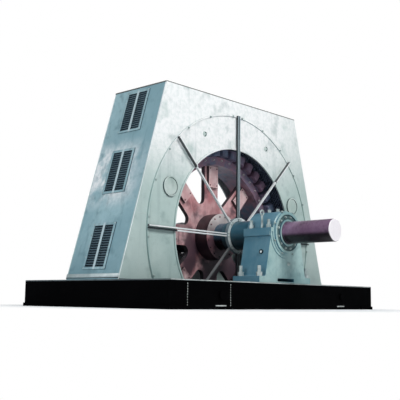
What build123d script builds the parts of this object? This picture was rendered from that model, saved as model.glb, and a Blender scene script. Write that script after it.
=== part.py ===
from build123d import *
import os
from math import atan2, cos, hypot, sin

os.makedirs("parts", exist_ok=True)

# Large synchronous motor with two pedestal bearings on one welded base frame.
# Millimetres, Z up. X runs along the base, the shaft lies along Y with its driving end towards -Y.
# The origin is the centre of the base frame's underside, which is ground level. The lower half of
# the stator and rotor hangs through the base into a foundation pit and stands on the pit floor.

# Base frame and deck
side_margin = 607.0
base_width = 3800.0
base_height = 470.0
deck_thickness = 20.0
beam_flange = 260.0
beam_flange_thickness = 35.0
beam_web = 30.0
foot_plate_length = 400.0
foot_plate_proud = 20.0
foot_plate_thickness = 60.0
lug_inset = 1175.0
lug_radius = 70.0
lug_neck_radius = 52.0
lug_flange_thickness = 14.0
lug_proud = 45.0
lug_height = 240.0
anchor_hole_radius = 28.0
anchor_hole_inset = 145.0
middle_anchor_spread = 1960.0

# Shaft line above the base frame's underside
axis_height = 1380.0

# Housing: a box with sloping sides over the stator
housing_depth = 1380.0
roof_margin = 300.0
roof_inset = 423.0
housing_plate = 25.0
housing_split_height = 1603.0
sill_proud = 10.0
sill_height = 100.0

# Louvre panels on the sloping sides, by their middle's share of the slope
louvre_shares = (0.1612, 0.5401, 0.8639)
louvre_slot_length = 218.0
louvre_slot_height = 31.0
louvre_slot_pitch = 44.8
louvre_rows = 17
louvre_column_gap = 56.0
louvre_border = 50.0
louvre_thickness = 18.0
louvre_lap = 30.0

# Round shields that close the two ends of the stator
shield_margin = 248.0
shield_opening_lap = 129.0
closed_shield_gap = 12.0
shield_thickness = 12.0
shield_lap = 63.0
shield_band_width = 30.0
shield_band_proud = 20.0
inspection_cover_radius = 180.0
inspection_cover_thickness = 22.0
inspection_cover_inset = 395.0
inspection_cover_angle = 22.5

# Struts in front of each shield and the ring that they carry round the shaft
strut_count = 8
strut_depth = 45.0
diagonal_strut_width = 26.0
split_strut_width = 24.0
split_strut_gap = 20.0
strut_ring_width = 66.0
strut_ring_depth = 70.0
sleeve_running_gap = 9.0

# Lower casing in the pit
pit_clearance = 17.0
pit_plate = 25.0
pit_side_gap = 57.0
pit_flange_width = 110.0
pit_beam_gap = 20.0

# Stator
air_gap = 8.0
core_back = 297.0
core_length = 600.0
winding_reach = 250.0
winding_inner_step = 14.0
winding_thickness = 200.0
winding_flare = 60.0
stator_foot_width = 240.0
stator_foot_offset = 900.0

# Rotor
rotor_radius = 1810.0
pole_count = 40
pole_start_angle = 7.0
pole_core_width = 130.0
pole_length = 600.0
shoe_width = 205.0
shoe_thickness = 42.0
coil_side = 30.0
coil_end = 96.0
coil_corner_radius = 70.0
coil_base_gap = 10.0
winding_clearance = 0.3
pole_height = 220.0
rim_thickness = 161.0
rim_width = 528.0
arm_count = 8
arm_width = 392.0
arm_corner_radius = 121.0
web_thickness = 90.0
hub_radius = 455.0
hub_length = 700.0
arm_pad_width = 268.0
arm_pad_length = 429.0
arm_pad_proud = 60.0

# Shaft
shaft_body_radius = 260.0
journal_radius = 215.0
shaft_neck_radius = 205.0
coupling_seat_radius = 200.0
coupling_seat_gap = 25.0
coupling_seat_length = 966.0
shaft_rear_stub = 35.0
sleeve_radius = 273.0
sleeve_start = 560.0
shaft_end_chamfer = 8.0

# Pedestal bearings
pedestal_setback = 15.0
pedestal_depth = 600.0
pedestal_foot_half_width = 771.0
pedestal_foot_thickness = 110.0
pedestal_foot_fillet = 45.0
pedestal_base_half_width = 600.0
pedestal_neck_half_width = 445.0
joint_half_width = 480.0
joint_flange_thickness = 70.0
cap_radius = 400.0
cap_chamfer = 22.0
bearing_seat_radius = 300.0
bearing_seat_clearance = 0.3
journal_clearance = 0.05
bearing_length = 520.0
bearing_inset = 35.0
foot_slot_half_width = 249.0
foot_slot_height = 58.0
foot_slot_floor = 24.0
boss_radius = 468.0
boss_proud = 15.0
inner_boss_radius = 421.0
inner_boss_proud = 30.0

# Bearing end covers
cover_radius = 385.0
cover_thickness = 30.0
cover_recess_radius = 335.0
cover_recess_depth = 20.0
cover_collar_radius = 244.0
cover_collar_proud = 25.0
cover_running_gap = 7.0

# Studs, eye bolts, plugs and sight glasses on the pedestals
cap_stud_offset = 438.0
cap_stud_places = (55.0, 450.0)
cap_nut_width = 76.0
cap_nut_height = 60.0
cap_stud_radius = 28.0
cap_stud_height = 150.0
foot_stud_offset = 703.0
foot_stud_places = (60.0, 478.0)
foot_nut_width = 95.0
foot_nut_height = 75.0
foot_stud_radius = 32.0
foot_stud_height = 185.0
eye_bolt_place = 205.0
eye_ring_radius = 45.0
eye_ring_thickness = 14.0
eye_stem_radius = 22.0
eye_stem_height = 230.0
crown_plug_places = (182.0, 375.0)
crown_plug_radius = 32.0
crown_plug_height = 55.0
sight_glass_place = 160.0
sight_glass_drop = 362.0
sight_glass_radius = 42.0
sight_glass_proud = 22.0

# Sizes that follow from the ones above
stator_bore_radius = rotor_radius + air_gap
core_outer_radius = stator_bore_radius + core_back
shield_outer_radius = core_outer_radius + shield_margin
shield_opening_radius = rotor_radius - shield_opening_lap
inspection_cover_distance = shield_outer_radius - inspection_cover_inset
base_length = 2 * (shield_outer_radius + side_margin)
frame_height = base_height - deck_thickness
half_length = base_length / 2
half_width = base_width / 2
half_depth = housing_depth / 2
wall_inner_depth = half_depth - housing_plate
housing_half_bottom = half_length - sill_proud
housing_half_top = shield_outer_radius - roof_inset
housing_top = axis_height + shield_outer_radius + roof_margin
housing_height = housing_top - base_height
side_angle = atan2(housing_half_bottom - housing_half_top, housing_height)
side_wall_run = housing_plate / cos(side_angle)
slope_length = hypot(housing_half_bottom - housing_half_top, housing_height)
louvre_levels = [share * slope_length for share in louvre_shares]
shield_seat_radius = shield_outer_radius - shield_lap
shield_face = half_depth + shield_thickness
strut_seat = shield_face + shield_band_proud
ring_bore_radius = sleeve_radius + sleeve_running_gap
ring_outer_radius = ring_bore_radius + strut_ring_width
pit_half_width = shield_outer_radius + pit_side_gap
pit_floor = axis_height - shield_outer_radius - pit_clearance
bay_opening_half_depth = strut_seat + strut_depth + pit_beam_gap
core_half = core_length / 2
rim_outer_radius = rotor_radius - pole_height
rim_inner_radius = rim_outer_radius - rim_thickness
pole_half = pole_length / 2
shoe_inner_radius = rotor_radius - shoe_thickness
coil_inner_radius = rim_outer_radius + coil_base_gap
coil_outer_radius = shoe_inner_radius - winding_clearance
coil_opening = pole_core_width + 2 * winding_clearance
coil_opening_length = pole_length + 2 * winding_clearance
pedestal_face = half_width - pedestal_setback
pedestal_back = pedestal_face - pedestal_depth
foot_bottom = base_height - axis_height
foot_top = foot_bottom + pedestal_foot_thickness
cover_face = pedestal_face + inner_boss_proud
journal_outer_end = pedestal_face - bearing_inset
journal_inner_end = pedestal_back + bearing_inset
sunk_face = cover_face + cover_thickness - cover_recess_depth
collar_face = sunk_face + cover_collar_proud
coupling_seat_start = collar_face + coupling_seat_gap
shaft_drive_reach = coupling_seat_start + coupling_seat_length
shaft_rear_reach = collar_face + shaft_rear_stub

shaft_axis = Axis((0, 0, axis_height), (0, 1, 0))
ends = ((-1, "front"), (1, "rear"))


def end_plane(end, distance):
    """Upright plane that faces out of one end, at this distance from the middle, on the shaft line."""
    return Plane((0, end * distance, axis_height), x_dir=(-end, 0, 0), z_dir=(0, end, 0))


def end_section(end):
    """Plane through the shaft line: its x runs out towards one end and its y is the radius."""
    return Plane((0, 0, axis_height), x_dir=(0, end, 0), z_dir=(end, 0, 0))


def side_plane(side):
    """Plane on a sloping side's outer face: its y runs up the slope from the deck."""
    origin = (side * housing_half_bottom, 0, base_height)
    outward = (side * cos(side_angle), 0, sin(side_angle))
    return Plane(origin, x_dir=(0, side, 0), z_dir=outward)


def wall_x(height):
    """Half width of the housing's outer face at a height above the base frame's underside."""
    return housing_half_bottom - (height - base_height) * sin(side_angle) / cos(side_angle)


# Base frame: channel beams round the edge, with their webs outwards, and I beams inside
bay_depth = half_width - bay_opening_half_depth
inner_beam_y = bay_opening_half_depth + beam_flange / 2
end_beam_length = base_width - 2 * beam_flange
inner_beam_length = base_length - 2 * beam_flange
cross_beam_length = bay_depth - 2 * beam_flange
cross_beam_spread = 2 * half_width - 2 * beam_flange - cross_beam_length
flange_levels = (0, frame_height - beam_flange_thickness)
foot_leg = foot_plate_length + foot_plate_proud - beam_flange
foot_row_spread = base_width - beam_flange + foot_plate_proud
anchor_spread = base_width - 2 * anchor_hole_inset

with BuildPart() as base_long_beams:
    for level in flange_levels:
        with BuildSketch(Plane.XY.offset(level)):
            with GridLocations(0, base_width - beam_flange, 1, 2):
                Rectangle(base_length, beam_flange)
        extrude(amount=beam_flange_thickness)
    with BuildSketch():
        with GridLocations(0, base_width - beam_web, 1, 2):
            Rectangle(base_length, beam_web)
        with GridLocations(base_length - beam_web, base_width - beam_flange, 2, 2):
            Rectangle(beam_web, beam_flange)
    extrude(amount=frame_height)
    with BuildSketch():
        with GridLocations(base_length - foot_plate_length, foot_row_spread, 2, 2):
            Rectangle(foot_plate_length + 2 * foot_plate_proud, beam_flange + foot_plate_proud)
    extrude(amount=foot_plate_thickness)
    with Locations((0, 0, foot_plate_thickness)):
        with GridLocations(base_length - 2 * anchor_hole_inset, anchor_spread, 2, 2):
            Hole(anchor_hole_radius, depth=foot_plate_thickness)
        with GridLocations(middle_anchor_spread, anchor_spread, 2, 2):
            Hole(anchor_hole_radius, depth=foot_plate_thickness)
base_long_beams.part.label = "base_long_beams"
export_step(base_long_beams.part, "parts/base_long_beams.step")

with BuildPart() as base_end_beams:
    for level in flange_levels:
        with BuildSketch(Plane.XY.offset(level)):
            with GridLocations(base_length - beam_flange, 0, 2, 1):
                Rectangle(beam_flange, end_beam_length)
        extrude(amount=beam_flange_thickness)
    with BuildSketch():
        with GridLocations(base_length - beam_web, 0, 2, 1):
            Rectangle(beam_web, end_beam_length)
    extrude(amount=frame_height)
    with BuildSketch():
        with GridLocations(base_length - beam_flange + foot_plate_proud, end_beam_length - foot_leg, 2, 2):
            Rectangle(beam_flange + foot_plate_proud, foot_leg)
    extrude(amount=foot_plate_thickness)
base_end_beams.part.label = "base_end_beams"
export_step(base_end_beams.part, "parts/base_end_beams.step")

with BuildPart() as base_inner_beams:
    for level in flange_levels:
        with BuildSketch(Plane.XY.offset(level)):
            with GridLocations(0, 2 * inner_beam_y, 1, 2):
                Rectangle(inner_beam_length, beam_flange)
        extrude(amount=beam_flange_thickness)
    with BuildSketch():
        with GridLocations(0, 2 * inner_beam_y, 1, 2):
            Rectangle(inner_beam_length, beam_web)
    extrude(amount=frame_height)
base_inner_beams.part.label = "base_inner_beams"
export_step(base_inner_beams.part, "parts/base_inner_beams.step")

with BuildPart() as base_cross_beams:
    for level in flange_levels:
        with BuildSketch(Plane.XY.offset(level)):
            with GridLocations(2 * pedestal_base_half_width, cross_beam_spread, 2, 2):
                Rectangle(beam_flange, cross_beam_length)
        extrude(amount=beam_flange_thickness)
    with BuildSketch():
        with GridLocations(2 * pedestal_base_half_width, cross_beam_spread, 2, 2):
            Rectangle(beam_web, cross_beam_length)
    extrude(amount=frame_height)
base_cross_beams.part.label = "base_cross_beams"
export_step(base_cross_beams.part, "parts/base_cross_beams.step")

# Deck plate on the beams, cut out round the pit
with BuildPart() as base_deck:
    with BuildSketch(Plane.XY.offset(frame_height)):
        Rectangle(base_length, base_width)
        Rectangle(2 * (pit_half_width + pit_beam_gap), 2 * bay_opening_half_depth, mode=Mode.SUBTRACT)
    extrude(amount=deck_thickness)
base_deck.part.label = "base_deck"
export_step(base_deck.part, "parts/base_deck.step")

# Lifting trunnions on the long faces of the base: a neck with a wider flange at its end
with BuildPart() as base_lugs:
    for end, _ in ends:
        for radius, start, reach in (
            (lug_neck_radius, 0, lug_proud),
            (lug_radius, lug_proud - lug_flange_thickness, lug_flange_thickness),
        ):
            origin = (0, end * (half_width + start), lug_height)
            with BuildSketch(Plane(origin, x_dir=(-end, 0, 0), z_dir=(0, end, 0))):
                with GridLocations(base_length - 2 * lug_inset, 0, 2, 1):
                    Circle(radius)
            extrude(amount=reach)
base_lugs.part.label = "base_lugs"
export_step(base_lugs.part, "parts/base_lugs.step")

# Sloping sides, each with a sill strip along its foot and three openings behind the louvres
louvre_zone_width = 2 * louvre_slot_length + louvre_column_gap
louvre_zone_height = (louvre_rows - 1) * louvre_slot_pitch + louvre_slot_height

for side, side_name in ((-1, "left"), (1, "right")):
    with BuildPart() as housing_side:
        with BuildSketch(Plane.XZ.offset(-wall_inner_depth)):
            with BuildLine():
                Polyline(
                    (side * housing_half_bottom, base_height),
                    (side * housing_half_top, housing_top),
                    (side * (housing_half_top - side_wall_run), housing_top),
                    (side * (housing_half_bottom - side_wall_run), base_height),
                    close=True,
                )
            make_face()
        extrude(amount=2 * wall_inner_depth)
        with BuildSketch(Plane.XZ.offset(-wall_inner_depth)):
            with BuildLine():
                Polyline(
                    (side * (wall_x(base_height) + sill_proud), base_height),
                    (side * (wall_x(base_height + sill_height) + sill_proud), base_height + sill_height),
                    (side * wall_x(base_height + sill_height), base_height + sill_height),
                    (side * wall_x(base_height), base_height),
                    close=True,
                )
            make_face()
        extrude(amount=2 * wall_inner_depth)
        with BuildSketch(side_plane(side)):
            with Locations(*[(0, level) for level in louvre_levels]):
                Rectangle(louvre_zone_width + louvre_lap, louvre_zone_height + louvre_lap)
        extrude(amount=-2 * housing_plate, mode=Mode.SUBTRACT)
    housing_side.part.label = f"housing_{side_name}_side"
    export_step(housing_side.part, f"parts/housing_{side_name}_side.step")

    # Louvre panels: two columns of slots in a raised frame over each opening
    with BuildPart() as louvres:
        with BuildSketch(side_plane(side)):
            for level in louvre_levels:
                with Locations((0, level)):
                    Rectangle(louvre_zone_width + 2 * louvre_border, louvre_zone_height + 2 * louvre_border)
                    column_pitch = louvre_slot_length + louvre_column_gap
                    with GridLocations(column_pitch, louvre_slot_pitch, 2, louvre_rows):
                        Rectangle(louvre_slot_length, louvre_slot_height, mode=Mode.SUBTRACT)
        extrude(amount=louvre_thickness)
    louvres.part.label = f"{side_name}_louvres"
    export_step(louvres.part, f"parts/{side_name}_louvres.step")

# Flat roof between the tops of the sides
with BuildPart() as housing_roof:
    with BuildSketch(Plane.XZ.offset(-wall_inner_depth)):
        roof_half = housing_half_top - side_wall_run
        roof_foot = roof_half + wall_x(housing_top - housing_plate) - housing_half_top
        with BuildLine():
            Polyline(
                (-roof_half, housing_top),
                (roof_half, housing_top),
                (roof_foot, housing_top - housing_plate),
                (-roof_foot, housing_top - housing_plate),
                close=True,
            )
        make_face()
    extrude(amount=2 * wall_inner_depth)
housing_roof.part.label = "housing_roof"
export_step(housing_roof.part, "parts/housing_roof.step")

# End plates of the housing, in an upper and a lower part round the shield's seat
split_level = housing_split_height - axis_height
top_level = housing_top - axis_height
split_half = wall_x(housing_split_height)

for end, end_name in ends:
    with BuildPart() as plate_upper:
        with BuildSketch(end_plane(end, wall_inner_depth)):
            with BuildLine():
                Polyline(
                    (-split_half, split_level),
                    (split_half, split_level),
                    (housing_half_top, top_level),
                    (-housing_half_top, top_level),
                    close=True,
                )
            make_face()
            Circle(shield_seat_radius, mode=Mode.SUBTRACT)
        extrude(amount=housing_plate)
    plate_upper.part.label = f"{end_name}_plate_upper"
    export_step(plate_upper.part, f"parts/{end_name}_plate_upper.step")

    with BuildPart() as plate_lower:
        with BuildSketch(end_plane(end, wall_inner_depth)):
            with BuildLine():
                Polyline(
                    (-housing_half_bottom, foot_bottom),
                    (housing_half_bottom, foot_bottom),
                    (split_half, split_level),
                    (-split_half, split_level),
                    close=True,
                )
            make_face()
            Circle(shield_seat_radius, mode=Mode.SUBTRACT)
        extrude(amount=housing_plate)
    plate_lower.part.label = f"{end_name}_plate_lower"
    export_step(plate_lower.part, f"parts/{end_name}_plate_lower.step")

    # The same wall carried on down into the pit
    pit_depth = base_height - pit_floor
    with BuildPart() as pit_casing_end:
        with BuildSketch(end_plane(end, wall_inner_depth)):
            with Locations((0, foot_bottom - pit_depth / 2)):
                Rectangle(2 * pit_half_width, pit_depth)
            Circle(shield_seat_radius, mode=Mode.SUBTRACT)
        extrude(amount=housing_plate)
    pit_casing_end.part.label = f"pit_casing_{end_name}"
    export_step(pit_casing_end.part, f"parts/pit_casing_{end_name}.step")

# Floor and sides of the lower casing, with flanges that lie on the deck inside the housing
with BuildPart() as pit_casing_tub:
    with BuildSketch(Plane.XZ.offset(-wall_inner_depth)):
        with Locations((0, (base_height + pit_floor) / 2)):
            Rectangle(2 * pit_half_width, base_height - pit_floor)
        with Locations((0, (base_height + pit_floor) / 2 + pit_plate)):
            Rectangle(2 * (pit_half_width - pit_plate), base_height - pit_floor, mode=Mode.SUBTRACT)
        with Locations((0, base_height + pit_plate / 2)):
            Rectangle(2 * (pit_half_width + pit_flange_width), pit_plate)
            Rectangle(2 * (pit_half_width - pit_plate), pit_plate, mode=Mode.SUBTRACT)
    extrude(amount=2 * wall_inner_depth)
pit_casing_tub.part.label = "pit_casing_tub"
export_step(pit_casing_tub.part, "parts/pit_casing_tub.step")

# Stator core, standing on two feet on the pit casing's floor
with BuildPart() as stator_core:
    with BuildSketch(end_plane(-1, -core_half)):
        Circle(core_outer_radius)
        Circle(stator_bore_radius, mode=Mode.SUBTRACT)
    extrude(amount=core_length)
stator_core.part.label = "stator_core"
export_step(stator_core.part, "parts/stator_core.step")

with BuildPart() as stator_feet:
    with BuildSketch(end_plane(-1, -core_half)):
        with Locations((-stator_foot_offset, pit_floor + pit_plate - axis_height),
                       (stator_foot_offset, pit_floor + pit_plate - axis_height)):
            Rectangle(stator_foot_width, core_outer_radius, align=(Align.CENTER, Align.MIN))
        Circle(core_outer_radius, mode=Mode.SUBTRACT)
    extrude(amount=core_length)
stator_feet.part.label = "stator_feet"
export_step(stator_feet.part, "parts/stator_feet.step")

# End windings: a flared basket of coil ends on each face of the core
for end, end_name in ends:
    winding_root = stator_bore_radius + winding_inner_step
    with BuildPart() as winding:
        with BuildSketch(end_section(end)):
            with BuildLine():
                Polyline(
                    (core_half, winding_root),
                    (core_half + winding_reach, winding_root + winding_flare),
                    (core_half + winding_reach, winding_root + winding_flare + winding_thickness / 2),
                    (core_half, winding_root + winding_thickness),
                    close=True,
                )
            make_face()
        revolve(axis=shaft_axis)
    winding.part.label = f"{end_name}_winding"
    export_step(winding.part, f"parts/{end_name}_winding.step")

    # Shield halves: a flat ring with a raised band at its edge and a lip round its opening.
    # The rear lower half is closed right up to the strut ring, because no light comes through there.
    for half, half_name in ((1, "upper"), (-1, "lower")):
        is_closed = end > 0 > half
        opening = ring_outer_radius + closed_shield_gap if is_closed else shield_opening_radius
        with BuildPart() as shield:
            with BuildSketch(end_plane(end, half_depth)):
                Circle(shield_outer_radius)
                Circle(opening, mode=Mode.SUBTRACT)
            extrude(amount=shield_thickness)
            with BuildSketch(end_plane(end, shield_face)):
                for band_outer in (shield_outer_radius, opening + shield_band_width):
                    Circle(band_outer)
                    Circle(band_outer - shield_band_width, mode=Mode.SUBTRACT)
            extrude(amount=shield_band_proud)
            split(bisect_by=Plane.XY.offset(axis_height), keep=Keep.TOP if half > 0 else Keep.BOTTOM)
        shield.part.label = f"{end_name}_shield_{half_name}"
        export_step(shield.part, f"parts/{end_name}_shield_{half_name}.step")

    # Struts from the shield's outer band to the ring: pairs along the split lines, single between
    strut_length = shield_outer_radius - ring_outer_radius
    strut_middle = (shield_outer_radius + ring_outer_radius) / 2
    with BuildPart() as struts:
        with BuildSketch(end_plane(end, strut_seat)):
            with PolarLocations(strut_middle, strut_count // 2):
                Rectangle(strut_length, 2 * split_strut_width + split_strut_gap)
                Rectangle(strut_length, split_strut_gap, mode=Mode.SUBTRACT)
            with PolarLocations(strut_middle, strut_count // 2, start_angle=360 / strut_count):
                Rectangle(strut_length, diagonal_strut_width)
            Circle(ring_outer_radius, mode=Mode.SUBTRACT)
            Circle(shield_outer_radius, mode=Mode.INTERSECT)
        extrude(amount=strut_depth)
        # No strut is seen through the rear end's upper half
        if end > 0:
            strut_top = axis_height + split_strut_width + split_strut_gap / 2
            split(bisect_by=Plane.XY.offset(strut_top), keep=Keep.BOTTOM)
    struts.part.label = f"{end_name}_struts"
    export_step(struts.part, f"parts/{end_name}_struts.step")

    with BuildPart() as strut_ring:
        with BuildSketch(end_plane(end, strut_seat)):
            Circle(ring_outer_radius)
            Circle(ring_bore_radius, mode=Mode.SUBTRACT)
        extrude(amount=strut_ring_depth)
    strut_ring.part.label = f"{end_name}_strut_ring"
    export_step(strut_ring.part, f"parts/{end_name}_strut_ring.step")

# Round inspection covers on the upper halves of both shields
with BuildPart() as inspection_covers:
    for end, _ in ends:
        with BuildSketch(end_plane(end, shield_face)):
            with PolarLocations(inspection_cover_distance, 2, start_angle=inspection_cover_angle,
                                angular_range=360 - 4 * inspection_cover_angle):
                Circle(inspection_cover_radius)
        extrude(amount=inspection_cover_thickness)
inspection_covers.part.label = "inspection_covers"
export_step(inspection_covers.part, "parts/inspection_covers.step")

# Pedestals: a tapering box on a wide foot, split at the shaft line, with a round cap
for end, end_name in ends:
    with BuildPart() as pedestal:
        with BuildSketch(end_plane(end, pedestal_back)):
            with BuildLine():
                Polyline(
                    (-pedestal_foot_half_width, foot_bottom),
                    (pedestal_foot_half_width, foot_bottom),
                    (pedestal_foot_half_width, foot_top),
                    (pedestal_base_half_width, foot_top),
                    (pedestal_neck_half_width, -joint_flange_thickness),
                    (joint_half_width, -joint_flange_thickness),
                    (joint_half_width, 0),
                    (-joint_half_width, 0),
                    (-joint_half_width, -joint_flange_thickness),
                    (-pedestal_neck_half_width, -joint_flange_thickness),
                    (-pedestal_base_half_width, foot_top),
                    (-pedestal_foot_half_width, foot_top),
                    close=True,
                )
            profile = make_face()
            foot_corners = profile.vertices().filter_by(
                lambda v: abs(v.Y - foot_top) < 1 and abs(abs(v.X) - pedestal_base_half_width) < 1)
            fillet(foot_corners, pedestal_foot_fillet)
            Circle(bearing_seat_radius, mode=Mode.SUBTRACT)
            with Locations((0, foot_bottom + foot_slot_floor + foot_slot_height / 2)):
                Rectangle(2 * foot_slot_half_width, foot_slot_height, mode=Mode.SUBTRACT)
        extrude(amount=pedestal_depth)
        for radius, proud in ((boss_radius, boss_proud), (inner_boss_radius, inner_boss_proud)):
            with BuildSketch(end_plane(end, pedestal_face)):
                Circle(radius)
                Circle(bearing_seat_radius, mode=Mode.SUBTRACT)
                Rectangle(2 * radius, radius, align=(Align.CENTER, Align.MIN), mode=Mode.SUBTRACT)
            extrude(amount=proud)
    pedestal.part.label = f"{end_name}_pedestal"
    export_step(pedestal.part, f"parts/{end_name}_pedestal.step")

    with BuildPart() as bearing_cap:
        with BuildSketch(end_plane(end, pedestal_back)):
            Circle(cap_radius)
            with Locations((0, joint_flange_thickness / 2)):
                Rectangle(2 * joint_half_width, joint_flange_thickness)
            Circle(bearing_seat_radius, mode=Mode.SUBTRACT)
            Rectangle(2 * joint_half_width, cap_radius, align=(Align.CENTER, Align.MAX), mode=Mode.SUBTRACT)
        extrude(amount=pedestal_depth + inner_boss_proud)
        crown_edges = bearing_cap.edges().filter_by(GeomType.CIRCLE).filter_by(
            lambda edge: abs(edge.radius - cap_radius) < 1)
        chamfer(crown_edges, cap_chamfer)
    bearing_cap.part.label = f"{end_name}_bearing_cap"
    export_step(bearing_cap.part, f"parts/{end_name}_bearing_cap.step")

    # End cover: a stepped ring with a sunk face and a collar round the shaft
    cover_bore = shaft_neck_radius + cover_running_gap
    with BuildPart() as end_cover:
        with BuildSketch(end_section(end)):
            with BuildLine():
                Polyline(
                    (cover_face, cover_bore),
                    (cover_face, cover_radius),
                    (cover_face + cover_thickness, cover_radius),
                    (cover_face + cover_thickness, cover_recess_radius),
                    (sunk_face, cover_recess_radius),
                    (sunk_face, cover_collar_radius),
                    (collar_face, cover_collar_radius),
                    (collar_face, cover_bore),
                    close=True,
                )
            make_face()
        revolve(axis=shaft_axis)
    end_cover.part.label = f"{end_name}_end_cover"
    export_step(end_cover.part, f"parts/{end_name}_end_cover.step")

# Bearing shells, seated in the pedestals round the journals
with BuildPart() as bearing_shells:
    for end, _ in ends:
        with BuildSketch(end_plane(end, pedestal_back + (pedestal_depth - bearing_length) / 2)):
            Circle(bearing_seat_radius - bearing_seat_clearance)
            Circle(journal_radius + journal_clearance, mode=Mode.SUBTRACT)
        extrude(amount=bearing_length)
bearing_shells.part.label = "bearing_shells"
export_step(bearing_shells.part, "parts/bearing_shells.step")

# Studs with their nuts, on the cap's joint flange and on the pedestal's foot
stud_rows = (
    (cap_stud_offset, cap_stud_places, joint_flange_thickness, cap_nut_width, cap_nut_height, cap_stud_radius,
     cap_stud_height),
    (foot_stud_offset, foot_stud_places, foot_top, foot_nut_width, foot_nut_height, foot_stud_radius,
     foot_stud_height),
)
with BuildPart() as pedestal_studs:
    for offset, places, level, nut_width, nut_height, stud_radius, stud_height in stud_rows:
        spots = [(x, end * (pedestal_face - place)) for end, _ in ends for place in places for x in (-offset, offset)]
        with BuildSketch(Plane.XY.offset(axis_height + level)):
            with Locations(*spots):
                RegularPolygon(nut_width / 2, 6, major_radius=False)
        extrude(amount=nut_height)
        with BuildSketch(Plane.XY.offset(axis_height + level)):
            with Locations(*spots):
                Circle(stud_radius)
        extrude(amount=stud_height)
pedestal_studs.part.label = "pedestal_studs"
export_step(pedestal_studs.part, "parts/pedestal_studs.step")

# One eye bolt on the joint flange of each cap, and two plugs on its crown
with BuildPart() as cap_fittings:
    for end, _ in ends:
        with BuildSketch(Plane.XY.offset(axis_height + joint_flange_thickness)):
            with Locations((end * cap_stud_offset, end * (pedestal_face - eye_bolt_place))):
                Circle(eye_stem_radius)
        extrude(amount=eye_stem_height)
        ring_height = axis_height + joint_flange_thickness + eye_stem_height + eye_ring_radius
        ring_place = (end * cap_stud_offset, end * (pedestal_face - eye_bolt_place), ring_height)
        with Locations(Location(ring_place, (90, 0, 0))):
            Torus(eye_ring_radius, eye_ring_thickness)
        with BuildSketch(Plane.XY.offset(axis_height + cap_radius)):
            with Locations(*[(0, end * (pedestal_face - place)) for place in crown_plug_places]):
                Circle(crown_plug_radius)
        extrude(amount=crown_plug_height)
cap_fittings.part.label = "cap_fittings"
export_step(cap_fittings.part, "parts/cap_fittings.step")

# Sight glasses on the pedestals' sloping flanks
flank_run = pedestal_base_half_width - pedestal_neck_half_width
flank_rise = -joint_flange_thickness - foot_top
flank_angle = atan2(flank_run, flank_rise)
flank_x = pedestal_neck_half_width + flank_run * (sight_glass_drop - joint_flange_thickness) / flank_rise
with BuildPart() as sight_glasses:
    for end, _ in ends:
        glass_plane = Plane(
            (end * flank_x, end * (pedestal_face - sight_glass_place), axis_height - sight_glass_drop),
            x_dir=(0, end, 0),
            z_dir=(end * cos(flank_angle), 0, sin(flank_angle)),
        )
        with BuildSketch(glass_plane):
            Circle(sight_glass_radius)
        extrude(amount=sight_glass_proud)
sight_glasses.part.label = "sight_glasses"
export_step(sight_glasses.part, "parts/sight_glasses.step")

# Shaft: a stepped forging, thick under the rotor, with journals and a long driving end
half_hub = hub_length / 2
with BuildPart() as shaft:
    with BuildSketch(end_section(-1)):
        with BuildLine():
            Polyline(
                (-shaft_rear_reach, 0),
                (-shaft_rear_reach, shaft_neck_radius),
                (-journal_outer_end, shaft_neck_radius),
                (-journal_outer_end, journal_radius),
                (-journal_inner_end, journal_radius),
                (-journal_inner_end, shaft_body_radius),
                (journal_inner_end, shaft_body_radius),
                (journal_inner_end, journal_radius),
                (journal_outer_end, journal_radius),
                (journal_outer_end, shaft_neck_radius),
                (coupling_seat_start, shaft_neck_radius),
                (coupling_seat_start, coupling_seat_radius),
                (shaft_drive_reach, coupling_seat_radius),
                (shaft_drive_reach, 0),
                close=True,
            )
        make_face()
    revolve(axis=shaft_axis)
    rims = shaft.edges().filter_by(GeomType.CIRCLE).group_by(Axis.Y)
    chamfer(rims[0] + rims[-1], shaft_end_chamfer)
shaft.part.label = "shaft"
export_step(shaft.part, "parts/shaft.step")

# Sleeves on the shaft between the rotor and the pedestals
with BuildPart() as shaft_sleeves:
    for end, _ in ends:
        with BuildSketch(end_plane(end, sleeve_start)):
            Circle(sleeve_radius)
            Circle(shaft_body_radius, mode=Mode.SUBTRACT)
        extrude(amount=pedestal_back - sleeve_running_gap - sleeve_start)
shaft_sleeves.part.label = "shaft_sleeves"
export_step(shaft_sleeves.part, "parts/shaft_sleeves.step")

# Spider: hub and web in one casting, with a round-cornered window between each pair of arms
with BuildPart() as rotor_spider:
    with BuildSketch(end_plane(-1, -web_thickness / 2)):
        Circle(rim_inner_radius)
    extrude(amount=web_thickness)
    with BuildSketch(end_plane(-1, -web_thickness / 2)) as windows:
        Circle(rim_inner_radius)
        with PolarLocations(0, arm_count // 2, angular_range=180):
            Rectangle(2 * rim_inner_radius, arm_width, mode=Mode.SUBTRACT)
        fillet(windows.vertices().sort_by(SortBy.DISTANCE)[:arm_count], arm_corner_radius)
    extrude(amount=web_thickness, mode=Mode.SUBTRACT)
    with BuildSketch(end_plane(-1, -half_hub)):
        Circle(hub_radius)
    extrude(amount=hub_length)
    with BuildSketch(end_plane(-1, -half_hub)):
        Circle(shaft_body_radius)
    extrude(amount=hub_length, mode=Mode.SUBTRACT)
rotor_spider.part.label = "rotor_spider"
export_step(rotor_spider.part, "parts/rotor_spider.step")

# Raised pads on the outer ends of the arms, on both faces
with BuildPart() as arm_pads:
    for end, _ in ends:
        with BuildSketch(end_plane(end, web_thickness / 2)):
            with PolarLocations(rim_inner_radius - arm_pad_length / 2, arm_count):
                Rectangle(arm_pad_length, arm_pad_width)
            Circle(rim_inner_radius, mode=Mode.INTERSECT)
        extrude(amount=arm_pad_proud)
arm_pads.part.label = "arm_pads"
export_step(arm_pads.part, "parts/arm_pads.step")

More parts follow.
